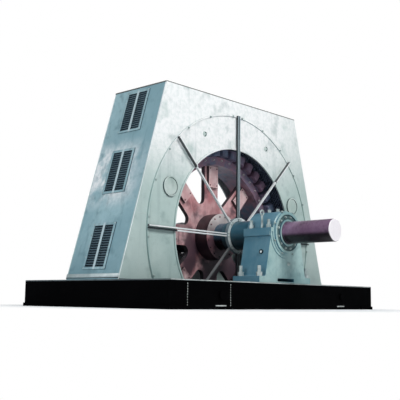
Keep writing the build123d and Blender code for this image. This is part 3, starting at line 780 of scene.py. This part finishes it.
def slope_axes(side: int) -> np.ndarray:
    """Axes of one sloping side: along the side, up the slope and outwards.

    Args:
        side: -1 for the left, 1 for the right.

    Returns:
        The 3 by 3 array with the axes as columns.
    """
    lean, rise = SLOPE_RUN
    up = np.array([-side * lean, 0, rise]) / math.hypot(lean, rise)
    out = np.array([side * rise, 0, lean]) / math.hypot(lean, rise)
    return np.stack([np.cross(up, out), up, out], -1)


def on_slope(side: int, places: np.ndarray) -> np.ndarray:
    """Points on one sloping side.

    Args:
        side: -1 for the left, 1 for the right.
        places: Distance along the side, up the slope and out of the plate, one row a point.

    Returns:
        One row per point.
    """
    foot, deck = SLOPE_FOOT
    return np.asarray(places, float) @ slope_axes(side).T + (side * foot, 0, deck)


def at_ends(part: Surface, across: np.ndarray | float, out: float,
            height: np.ndarray | float) -> list[Surface]:
    """Copies a surface to places given from each end's own side, on both ends.

    Args:
        part: The surface, with Z outwards.
        across: Distance to the right as seen from outside each end.
        out: Distance from the middle.
        height: Height above the ground.

    Returns:
        One surface for each end.
    """
    return [part.moved(end_turn(end), at_end(end, across, out, height)) for end in ENDS]


def on_ends(part: Surface, out: float, radius: np.ndarray | float,
            degrees: np.ndarray | float) -> list[Surface]:
    """Copies a surface to places round the shaft line, on both ends.

    Args:
        part: The surface, with Z outwards.
        out: Distance from the middle.
        radius: Distance from the shaft line.
        degrees: Angles, anticlockwise as seen from outside each end.

    Returns:
        One surface for each end.
    """
    across, height = polar(radius, degrees)
    return at_ends(part, across, out, height)


@dataclass(frozen=True)
class BoltRing:
    """Bolts evenly round the shaft line, on both ends."""

    across: float
    face: float
    radius: float
    first: float
    count: int

    def parts(self) -> list[Surface]:
        """Makes the bolts, one surface for each end."""
        angles = self.first + np.arange(self.count) * 360 / self.count
        return on_ends(bolt(self.across), self.face, self.radius, angles)


@dataclass
class Assembly:
    """What the sub-assemblies share: a body, and the making of objects that ride on it."""

    body: Body = Body.FRAME
    sharp: float = 40.0

    def piece(self, name: str, parts: list[Surface], finish: Finish, slot: str,
              replaced: tuple[str, ...] = (), smooth: bool = False) -> bpy.types.Object:
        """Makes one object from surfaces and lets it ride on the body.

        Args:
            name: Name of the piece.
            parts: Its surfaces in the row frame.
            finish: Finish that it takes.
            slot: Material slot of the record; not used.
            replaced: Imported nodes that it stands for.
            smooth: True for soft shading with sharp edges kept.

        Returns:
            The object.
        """
        surface = joined(parts)
        mesh = bpy.data.meshes.new(name)
        mesh.vertices.add(len(surface.points))
        mesh.vertices.foreach_set("co", surface.points.astype(np.float32).ravel())
        corners = np.concatenate([f.ravel() for f in surface.faces])
        sizes = np.concatenate([np.full(len(f), f.shape[1]) for f in surface.faces])
        mesh.loops.add(len(corners))
        mesh.loops.foreach_set("vertex_index", corners.astype(np.int32))
        mesh.polygons.add(len(sizes))
        mesh.polygons.foreach_set("loop_start", (np.cumsum(sizes) - sizes).astype(np.int32))
        mesh.update(calc_edges=True)
        mesh.materials.append(finish.material())
        if smooth:
            mesh.shade_smooth()
            mesh.set_sharp_from_angle(angle=math.radians(self.sharp))
        obj = bpy.data.objects.new(name, mesh)
        bpy.context.scene.collection.objects.link(obj)
        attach(obj, self.body.value)
        if replaced:
            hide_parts(*replaced)
        log.info("%s: %d points, %d faces", name, len(surface.points), len(sizes))
        return obj


@dataclass
class Nodes:
    """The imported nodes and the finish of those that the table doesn't name."""

    other: Finish = BASE_BLACK

    def dress(self) -> None:
        """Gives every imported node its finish."""
        table = {name: finish for finish, names in NODE_FINISHES.items() for name in names.split()}
        for name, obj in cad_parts.items():
            obj.data.materials.clear()
            obj.data.materials.append(table.get(name, self.other).material())
        log.info("dressed %d packed nodes", len(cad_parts))


@dataclass
class Shields(Assembly):
    """Bolts, eyes, cover rims, strut ribs and opening beads of the round shields and strut rings."""

    band_radius: float = 2.342
    band_face: float = 0.722
    band_bolt: float = 0.034
    band_first: float = 4.2
    band_step: float = 16.5
    band_count: int = 6
    eye_radius: float = 2.07
    eye_angle: float = 26.6
    plate_face: float = 0.702
    cover_face: float = 0.724
    cover_distance: float = 1.968
    cover_angle: float = 22.5
    ring_face: float = 0.792
    ring_bolt: float = 0.03
    ring_bolt_radius: float = 0.316
    ring_bolt_angle: float = 5.5
    strut_face: float = 0.767
    trim_radius: float = 1.692
    trim_bar: float = 0.008
    rib_run: tuple[float, float] = (1.69, 2.36)
    rib_section: tuple[float, float] = (0.026, 0.022)
    rib_chamfer: float = 0.003
    rib_places: tuple[tuple[int, ...], ...] = ((1, 3, 5, 7), (5, 7))
    eye_arch: tuple[float, float, float] = (0.032, 0.012, 0.034)
    eye_bar: float = 0.0075

    def build(self) -> None:
        """Builds the pieces."""
        self.ribs()
        self.trims()
        quarter = self.band_first + self.band_step * np.arange(self.band_count)
        upper = np.concatenate([quarter, 180 - quarter])
        bands = np.concatenate([upper, -upper])
        pairs = (STRUTS[:, None] + self.ring_bolt_angle * SIDES).ravel()
        eyes = 90 + self.eye_angle * SIDES
        covers = 90 + (90 - self.cover_angle) * SIDES
        bolts = on_ends(bolt(self.band_bolt), self.band_face, self.band_radius, bands)
        self.piece("shield_bolts", bolts, PAINTED_BOLT, "shield_paint")
        bolts = on_ends(bolt(self.ring_bolt), self.ring_face, self.ring_bolt_radius, pairs)
        self.piece("strut_ring_bolts", bolts, FASTENER, "bright_fasteners")
        for name, part, face, radius, angles in (
                ("shield_eyes", self.eye(), self.plate_face, self.eye_radius, eyes),
                ("inspection_cover_rims", self.cover_rim(), self.cover_face, self.cover_distance, covers)):
            self.piece(name, on_ends(part, face, radius, angles), COVER_PAINT, "shield_paint", smooth=True)

    def trims(self) -> None:
        """Builds the pale bead round the cooling openings; the rear one has only its upper half."""
        beads = []
        for end, closed in zip(ENDS, (True, False)):
            angle = np.linspace(0, 360 if closed else 180, 120 if closed else 121, endpoint=not closed)
            across, height = polar(self.trim_radius, angle)
            beads.append(tube(at_end(end, across, self.plate_face, height), self.trim_bar, 6, closed))
        self.piece("opening_trims", beads, TRIM_PAINT, "shield_paint", smooth=True)

    def ribs(self) -> None:
        """Builds the deeper ribs that the leaning struts carry where they cross the shields."""
        start, stop = self.rib_run
        width, depth = self.rib_section
        ribs = []
        for end, places in zip(ENDS, self.rib_places):
            for degrees in STRUTS[list(places)]:
                angle = math.radians(degrees)
                c, s = math.cos(angle), math.sin(angle)
                spin = np.array([[c, -s, 0], [s, c, 0], [0, 0, 1]])
                across, height = polar((start + stop) / 2, degrees)
                middle = at_end(end, across, self.strut_face + depth / 2, height)
                rib = block((stop - start, width, depth), self.rib_chamfer)
                ribs.append(rib.moved(end_turn(end) @ spin, middle))
        self.piece("strut_ribs", ribs, STRUT_PAINT, "strut_paint")

    def eye(self) -> Surface:
        """Lifting eye: an upright half hoop of round bar on a thin round pad.

        Returns:
            The closed surface.
        """
        half, foot, rise = self.eye_arch
        angle = np.radians(np.linspace(0, 180, 11))
        arch = np.stack([0 * angle, half * np.cos(angle), foot + rise * np.sin(angle)], -1)
        path = np.vstack([[0, half, -SUNK], arch, [0, -half, -SUNK]])
        pad = turned([(0.052, -SUNK), (0.052, 0.004), (0.047, 0.007)], 32)
        return joined([tube(path, self.eye_bar), pad])

    def cover_rim(self) -> Surface:
        """Raised rim round an inspection cover, turned from its section."""
        profile = [(0.15, -SUNK), (0.18, -SUNK), (0.18, 0.008), (0.172, 0.014), (0.157, 0.014)]
        return turned(profile, 64, closed=True)


@dataclass
class Louvres(Assembly):
    """Blades behind the slots of the louvre panels on both sloping sides, and the panels' screws."""

    levels: tuple[float, ...] = (0.599, 2.007, 3.21)
    rows: int = 17
    pitch: float = 0.0448
    slot_length: float = 0.218
    column: float = 0.137
    stand: float = 0.018
    screw: float = 0.018
    screws: int = 5
    screw_rise: float = 0.4
    screw_column: float = 0.278
    blade_top: tuple[float, float] = (0.0165, -0.016)
    blade_fall: tuple[float, float] = (0.022, 0.034)
    blade_thick: float = 0.0025
    blade_lap: float = 0.004

    def build(self) -> None:
        """Builds the blades, one at each slot, and the screws, down both long edges of each panel."""
        slots = (np.arange(self.rows) - self.rows // 2) * self.pitch
        screws = np.linspace(-self.screw_rise, self.screw_rise, self.screws)
        for name, side in zip(("left", "right"), SIDES):
            turn = slope_axes(side)
            blades = self.blade().moved(turn, self.spots(side, slots, self.column))
            self.piece(f"{name}_louvre_blades", [blades], SHADOW_PAINT, "louvre_paint")
            heads = bolt(self.screw).moved(turn, self.spots(side, screws, self.screw_column))
            self.piece(f"{name}_louvre_screws", [heads], FASTENER, "louvre_paint")

    def spots(self, side: int, rows: np.ndarray, column: float) -> np.ndarray:
        """Points in two columns on the faces of the three louvre panels of one side.

        Args:
            side: -1 for the left, 1 for the right.
            rows: Distances up the slope from the middle of a panel.
            column: Distance of both columns from the middle of a panel.

        Returns:
            One row per point.
        """
        level, row, along = np.meshgrid(self.levels, rows, (-column, column), indexing="ij")
        places = np.stack([along, level + row, np.full(level.shape, self.stand)], -1)
        return on_slope(side, places.reshape(-1, 3))

    def blade(self) -> Surface:
        """Fixed blade behind a slot: a thin strip that slopes inwards and down from the slot's upper edge.

        Returns:
            The closed surface.
        """
        half = self.slot_length / 2 + self.blade_lap
        outer = np.array(self.blade_top)
        fall, inwards = np.array(self.blade_fall), np.array([0, self.blade_thick])
        outline = np.stack([outer, outer - inwards, outer - inwards - fall, outer - fall])
        left = np.column_stack([np.full(4, -half), outline])
        right = np.column_stack([np.full(4, half), outline])
        return wrapped(np.stack([right, left])[:, ::-1], False)


@dataclass
class Rotor(Assembly):
    """Field coils with their turns, and the bolts of the rim, pads and hub."""

    body: Body = Body.ROTOR
    poles: int = 40
    first_pole: float = 7.0
    inner: float = 1.6
    outer: float = 1.7677
    half_core: tuple[float, float] = (0.0653, 0.3003)
    half_coil: tuple[float, float] = (0.0953, 0.3963)
    turns: int = 9
    coil_corner: float = 0.07
    core_corner: float = 0.008
    turn_inset: float = 0.004
    turn_gap: float = 0.0004
    rim: BoltRing = BoltRing(0.036, 0.264, 1.532, 97.0, 40)
    hub: BoltRing = BoltRing(0.034, 0.35, 0.4, 11.25, 16)
    pad_bolt: float = 0.026
    pad_face: float = 0.105
    pad_radius: float = 1.215
    pad_half: tuple[float, float] = (0.17, 0.1)

    def build(self) -> None:
        """Builds the coils, one copy a pole with its own three axes, and the bolts."""
        angle = np.radians(self.first_pole + np.arange(self.poles) * 360 / self.poles)
        zero = 0 * angle
        radial = np.stack([np.cos(angle), zero, np.sin(angle)], -1)
        tangent = np.stack([-np.sin(angle), zero, np.cos(angle)], -1)
        axial = np.broadcast_to([0.0, -1.0, 0.0], radial.shape)
        turn = np.stack([axial, -tangent, radial], -1)
        coils = self.coil().moved(turn, np.broadcast_to(AXIS_POINT, radial.shape))
        self.piece("field_coil_turns", [coils], COIL_VARNISH, "coil_varnish", ("field_coils",))
        lift, side = (half * SIDES for half in self.pad_half)
        lift, side = (part.ravel() for part in np.meshgrid(self.pad_radius + lift, side))
        radius = np.tile(np.hypot(lift, side), len(STRUTS))
        arms = (STRUTS[:, None] + np.degrees(np.arctan2(side, lift))).ravel()
        pads = on_ends(bolt(self.pad_bolt), self.pad_face, radius, arms)
        self.piece("rim_bolts", self.rim.parts(), RED_BOLT, "rotor_red")
        self.piece("arm_pad_bolts", pads, ROTOR_RED, "rotor_red")
        self.piece("hub_bolts", self.hub.parts(), ROTOR_RED, "rotor_red")

    def coil(self) -> Surface:
        """One field coil: rounded rectangular loops stacked outwards, each turn set in at its edges.

        Returns:
            The closed surface, along X the axial, Y the tangential and Z the radial direction.
        """
        def loop(half: tuple[float, float], corner: float, back: float) -> np.ndarray:
            """Rounded rectangle with six points on each corner.

            Args:
                half: Half widths, tangential and axial.
                corner: Corner radius.
                back: Distance that the loop is set in.

            Returns:
                The points of the loop.
            """
            centres = np.array([[1, 1], [-1, 1], [-1, -1], [1, -1]], float)
            centres = centres * (half[1] - corner, half[0] - corner)
            sweep = np.radians(np.linspace(0, 90, 6)[None] + np.arange(4)[:, None] * 90)
            arc = np.stack([np.cos(sweep), np.sin(sweep)], -1) * (corner - back)
            return (centres[:, None] + arc).reshape(-1, 2)

        step = (self.outer - self.inner) / self.turns
        low = self.inner + step * np.arange(self.turns)
        levels = np.stack([low + self.turn_gap, low + 0.2 * step, low + 0.8 * step,
                           low + step - self.turn_gap], -1).ravel()
        backs = np.tile([self.turn_inset, 0.0, 0.0, self.turn_inset], self.turns)
        rows = [np.column_stack([loop(self.half_coil, self.coil_corner, back), np.full(24, level)])
                for level, back in zip(levels, backs)]
        inside = loop(self.half_core, self.core_corner, 0.0)
        rows += [np.column_stack([inside, np.full(24, level)]) for level in (levels[-1], levels[0])]
        return wrapped(np.array(rows), True)


@dataclass
class Windings(Assembly):
    """Diamond coil ends of the stator winding, with their binding rings."""

    coils: int = 180
    slot_radius: float = 1.862
    start: float = 0.298
    reach: float = 0.533
    flare: float = 0.02
    spread: float = 7.0
    nose: float = 1.2
    layer_shift: float = 0.06
    bar_half: tuple[float, float] = (0.007, 0.021)
    ring_radii: tuple[float, float] = (1.972, 2.0)
    ring_run: tuple[float, float] = (0.4, 0.428)

    def build(self) -> None:
        """Builds both ends: one coil end turned about the shaft line to every slot, and a ring."""
        angle = np.radians(np.arange(self.coils) * 360 / self.coils)
        c, s, z = np.cos(angle), np.sin(angle), 0 * angle
        spin = np.stack([np.stack([c, -s, z], -1), np.stack([s, c, z], -1), np.stack([z, z, z + 1], -1)], 1)
        spots = np.broadcast_to(AXIS_POINT, (self.coils, 3))
        (inner, outer), (low, high) = self.ring_radii, self.ring_run
        ring = turned([(inner, low), (outer, low), (outer, high), (inner, high)], 96, closed=True)
        for end, name in zip(ENDS, ("front", "rear")):
            turn = end_turn(end)
            parts = [self.coil_end().moved(turn @ spin, spots), ring.moved(turn, AXIS_POINT)]
            self.piece(f"{name}_coil_ends", parts, VARNISH, "winding_varnish", (f"{name}_winding",))

    def coil_end(self) -> Surface:
        """One coil end: a flat bar that leaves its slot, leans one way, turns over and leans back.

        Its way out is one less the distance from its middle to a power, so that it comes to a soft nose.
        There it passes from the inner layer to the outer one.

        Returns:
            The closed surface in the plane of the end, with Z outwards.
        """
        share = np.array([0, 0.02, 0.1, 0.4, 0.48, 0.5, 0.52, 0.6, 0.9, 0.98, 1.0])
        lean = self.spread * (2 * share - 1)
        rise = 1 - np.abs(2 * share - 1) ** self.nose
        out = self.start + (self.reach - self.start) * rise
        layer = np.interp(share, [0.44, 0.56], [0.0, 1.0])
        radius = self.slot_radius + self.flare * rise + self.layer_shift * layer
        angle = np.radians(lean)
        radial = np.stack([np.cos(angle), np.sin(angle), 0 * angle], -1)
        path = np.column_stack([radius[:, None] * radial[:, :2], out])
        return swept(path, SQUARE * self.bar_half, radial)


@dataclass
class Pedestals(Assembly):
    """Bolts and small fittings of the two pedestal bearings."""

    covers: BoltRing = BoltRing(0.038, 1.93, 0.29, 15.0, 12)
    flanges: BoltRing = BoltRing(0.034, 1.915, 0.403, 22.5, 8)
    face: float = 1.885
    plug_place: tuple[float, float] = (0.07, 0.816)
    pipe_out: float = 1.6
    pipe_across: float = 0.6
    pipe_ends: tuple[float, float] = (0.54, 0.5)
    pipe_heights: tuple[float, float] = (0.905, 1.162)
    pipe_bend: float = 0.012
    pipe_radius: float = 0.009
    sleeve_heights: tuple[float, float] = (0.93, 1.08)

    def build(self) -> None:
        """Builds the pieces; the gauge pipe leaves the pedestal, turns up at its bends and comes back."""
        plug = joined([turned([(0.03, -0.01), (0.03, 0.012), (0.026, 0.016)], 20),
                       turned([(0.019, 0.0), (0.019, 0.034), (0.016, 0.038)], 6)])
        sleeve = turned([(0.016, 0), (0.016, 0.06), (0.012, 0.064)], 12)
        (start, stop), (low, high) = self.pipe_ends, self.pipe_heights
        x, bend = self.pipe_across, self.pipe_bend
        path = np.array([[start, low], [x - bend, low], [x, low + bend], [x, high - bend], [x - bend, high],
                         [stop, high]])
        across, height = self.plug_place
        fittings, brass = at_ends(plug, across, self.face, height), []
        for end in ENDS:
            fittings.append(tube(at_end(end, path[:, 0], self.pipe_out, path[:, 1]), self.pipe_radius))
            spots = at_end(end, self.pipe_across, self.pipe_out, self.sleeve_heights)
            brass.append(sleeve.moved(np.eye(3), spots))
        bolts = self.covers.parts() + self.flanges.parts()
        self.piece("end_cover_bolts", bolts, PAINTED_BOLT, "bearing_paint")
        self.piece("oil_fittings", fittings, FASTENER, "bright_fasteners", smooth=True)
        self.piece("gauge_ends", brass, BEARING_METAL, "bearing_metal", smooth=True)


@dataclass
class Housing(Assembly):
    """Trim of the housing: roof lips, seam strips, pale sill strips and corner beads."""

    half_bottom: float = 2.96
    half_top: float = 1.94
    bottom: float = 0.47
    top: float = 4.043
    split: float = 1.603
    face: float = 0.69
    shield_radius: float = 2.363
    sill: float = 0.01
    bead_bar: float = 0.006
    bead_inset: float = 0.003
    joint: tuple[float, float] = (0.006, 0.003)
    joint_gap: float = 0.01
    roof_lip: tuple[float, float] = (0.014, 0.008)
    lip_chamfer: float = 0.002
    lip_drop: float = 0.009
    slope_lip: tuple[float, float] = (0.026, 0.006)
    slope_lip_drop: float = 0.015
    end_seam: tuple[float, float] = (0.012, 0.005)
    end_seam_gap: float = 0.01
    end_seam_rise: float = 0.006
    slope_seam: tuple[float, float] = (0.014, 0.005)
    slope_seam_rise: float = 0.022
    sill_strip: tuple[float, float] = (0.062, 0.004)
    sill_rise: float = 0.066

    def build(self) -> None:
        """Builds the strips on the ends and slopes, and the beads along the four sloping corners."""
        rise = self.top - self.bottom
        edge = self.half_bottom - (self.half_bottom - self.half_top) * (self.split - self.bottom) / rise
        gap = math.sqrt(self.shield_radius ** 2 - (self.split - AXIS_HEIGHT) ** 2)
        joint = block((edge - gap - self.joint_gap, *self.joint))
        lip = block((2 * self.half_top, *self.roof_lip), self.lip_chamfer)
        seam = block((2 * (self.half_bottom - self.end_seam_gap), *self.end_seam))
        pales = at_ends(joint, SIDES * (edge + gap) / 2, self.face, self.split)
        lips = at_ends(lip, 0, self.face, self.top - self.lip_drop)
        seams = at_ends(seam, 0, self.face, self.bottom + self.end_seam_rise)
        beads = []
        slope = math.hypot(*SLOPE_RUN)
        for side in SIDES:
            turn = slope_axes(side)
            for group, section, rise, out in (
                    (lips, self.slope_lip, slope - self.slope_lip_drop, 0),
                    (seams, self.slope_seam, self.slope_seam_rise, self.sill),
                    (pales, self.sill_strip, self.sill_rise, self.sill)):
                group.append(block((2 * self.face, *section)).moved(turn, on_slope(side, [0, rise, out])))
            for end in ENDS:
                corner = np.array([self.half_bottom, self.half_top]) - self.bead_inset
                heights = [self.bottom, self.top - self.bead_bar]
                path = at_end(end, -end * side * corner, self.face - self.bead_inset, heights)
                beads.append(tube(path, self.bead_bar, 6))
        # The corner beads' pale paint is a painted highlight along the sloping corners.
        self.piece("corner_beads", beads, TRIM_PAINT, "housing_paint", smooth=True)
        self.piece("sill_edges", pales, SILL_PAINT, "housing_paint")
        self.piece("housing_seams", seams, SEALANT, "housing_paint")
        self.piece("roof_lips", lips, ROOF_EDGE, "housing_paint")


@dataclass
class Base(Assembly):
    """Seams, foot strips and the deck's pale edge on the base frame."""

    face: float = 1.9
    seam_places: tuple[float, ...] = (-2.589, -1.555)
    seam_height: float = 0.235
    dashes: int = 9
    dash: Triple = (0.012, 0.022, 0.006)
    dash_pitch: float = 0.042
    deck_edge: Triple = (5.92, 0.012, 0.003)
    deck_height: float = 0.461
    strip: Triple = (0.26, 0.02, 0.006)
    strip_place: float = 1.795
    strip_height: float = 0.06

    def build(self) -> None:
        """Builds the pieces on the front and rear faces."""
        dashes = self.seam_height + self.dash_pitch * (np.arange(self.dashes) - self.dashes // 2)
        places, heights = (part.ravel() for part in np.meshgrid(self.seam_places, dashes, indexing="ij"))
        seams = at_ends(block(self.dash), places, self.face, heights)
        edges = at_ends(block(self.deck_edge), 0, self.face, self.deck_height)
        edges += at_ends(block(self.strip), SIDES * self.strip_place, self.face, self.strip_height)
        self.piece("base_seams", seams, PALE_EDGE, "base_black")
        self.piece("base_edges", edges, PALE_EDGE, "deck_plate")


@dataclass
class Stage:
    """Camera, lamps, white surroundings and floor."""

    camera_place: Triple = (-11.163, -10.066, 0.147)
    yaw: float = 47.24
    pitch: float = 7.54
    roll: float = 0.0135
    lens: float = 68.05
    sensor: float = 36.0
    sight: float = 200.0
    aim: Triple = (0.0, 0.0, 1.8)
    sky: Triple = (0.80, 0.88, 0.94)
    sky_level: float = 0.26
    white: Triple = (1.0, 1.0, 1.0)
    floor_colour: Triple = (0.86, 0.88, 0.9)
    floor_reach: float = 60.0
    floor_fade: tuple[float, float] = (2.6, 5.2)
    pit_half: tuple[float, float] = (2.56, 0.83)
    lamps: tuple[tuple[str, Triple, float, float, Triple], ...] = (
        ("key", (-1.5, -12.0, 11.0), 5.0, 1430.0, (1.0, 0.99, 0.975)),
        ("side", (-14.0, -1.0, 6.0), 7.0, 620.0, (0.9, 0.96, 1.0)),
        ("rear", (6.0, 14.0, 7.0), 7.0, 700.0, (0.95, 0.97, 1.0)),
        ("right", (14.0, 0.5, 6.0), 7.0, 420.0, (0.95, 0.98, 1.0)),
    )

    def camera(self) -> None:
        """Places the camera: forward from yaw and pitch, then a small turn about the line of sight."""
        yaw, pitch = math.radians(self.yaw), math.radians(self.pitch)
        forward = Vector((math.sin(yaw) * math.cos(pitch), math.cos(yaw) * math.cos(pitch), math.sin(pitch)))
        right = Vector((math.cos(yaw), -math.sin(yaw), 0.0))
        up = right.cross(forward)
        across = right * math.cos(self.roll) + up * math.sin(self.roll)
        above = up * math.cos(self.roll) - right * math.sin(self.roll)
        turn = Matrix((across, above, -forward)).transposed().to_4x4()
        data = bpy.data.cameras.new("camera")
        data.lens = self.lens
        data.sensor_width = self.sensor
        data.clip_end = self.sight
        obj = bpy.data.objects.new("camera", data)
        obj.matrix_world = Matrix.Translation(self.camera_place) @ turn
        bpy.context.scene.collection.objects.link(obj)
        bpy.context.scene.camera = obj

    def lamp(self, name: str, place: Triple, size: float, power: float, colour: Triple) -> None:
        """Adds one large lamp that faces the middle of the machine.

        Args:
            name: Name of the lamp.
            place: Where it stands.
            size: Side of the square lamp.
            power: Power in watts.
            colour: Linear colour.
        """
        data = bpy.data.lights.new(name, "AREA")
        data.size = size
        data.energy = power
        data.color = colour
        obj = bpy.data.objects.new(name, data)
        obj.location = place
        obj.rotation_euler = (Vector(self.aim) - Vector(place)).to_track_quat("-Z", "Y").to_euler()
        bpy.context.scene.collection.objects.link(obj)

    def world(self) -> None:
        """White to the camera, also through glass, and a soft grey light to everything else."""
        world = bpy.data.worlds.new("world")
        bpy.context.scene.world = world
        world.use_nodes = True
        g = Graph(world.node_tree)
        rays = g.add("LightPath").outputs
        seen = g.reckon("MAXIMUM", rays["Is Camera Ray"], rays["Is Transmission Ray"])
        soft = g.add("Background", {"Color": self.sky, "Strength": self.sky_level})
        white = g.add("Background", {"Color": self.white})
        mix = g.add("MixShader", {0: seen, 1: soft.outputs[0], 2: white.outputs[0]})
        g.add("OutputWorld", {"Surface": mix.outputs[0]})

    def floor(self) -> None:
        """White floor with a pit under the base; the camera sees it fade to plain white away from it."""
        far, (x, y) = self.floor_reach, self.pit_half
        outer = np.array([[-far, -far, 0], [far, -far, 0], [far, far, 0], [-far, far, 0]])
        inner = np.array([[-x, -y, 0], [x, -y, 0], [x, y, 0], [-x, y, 0]])
        faces = [(i, (i + 1) % 4, 4 + (i + 1) % 4, 4 + i) for i in range(4)]
        mesh = bpy.data.meshes.new("floor")
        mesh.from_pydata(np.vstack([outer, inner]).tolist(), [], faces)
        material = bpy.data.materials.new("floor_white")
        material.use_nodes = True
        g = Graph(material.node_tree)
        away = g.add("VectorMath", {0: g.add("TexCoord").outputs["Object"]}, operation="LENGTH")
        fade = g.times(g.step(away.outputs["Value"], *self.floor_fade),
                       g.add("LightPath").outputs["Is Camera Ray"])
        diffuse = g.add("BsdfDiffuse", {"Color": self.floor_colour})
        glow = g.add("Emission", {"Color": self.white})
        mix = g.add("MixShader", {0: fade, 1: diffuse.outputs[0], 2: glow.outputs[0]})
        g.add("OutputMaterial", {"Surface": mix.outputs[0]})
        mesh.materials.append(material)
        obj = bpy.data.objects.new("floor", mesh)
        bpy.context.scene.collection.objects.link(obj)

    def build(self) -> None:
        """Sets up everything that isn't the machine."""
        self.camera()
        for lamp in self.lamps:
            self.lamp(*lamp)
        self.world()
        self.floor()
        bpy.context.scene.view_settings.view_transform = "Standard"


def main() -> None:
    """Builds the looks in order: nodes, shields, louvres, rotor, windings, pedestals, trim, stage."""
    Nodes().dress()
    for assembly in (Shields(), Louvres(), Rotor(), Windings(), Pedestals(), Housing(), Base()):
        assembly.build()
    Stage().build()
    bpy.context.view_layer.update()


if __name__ == "__main__":
    main()
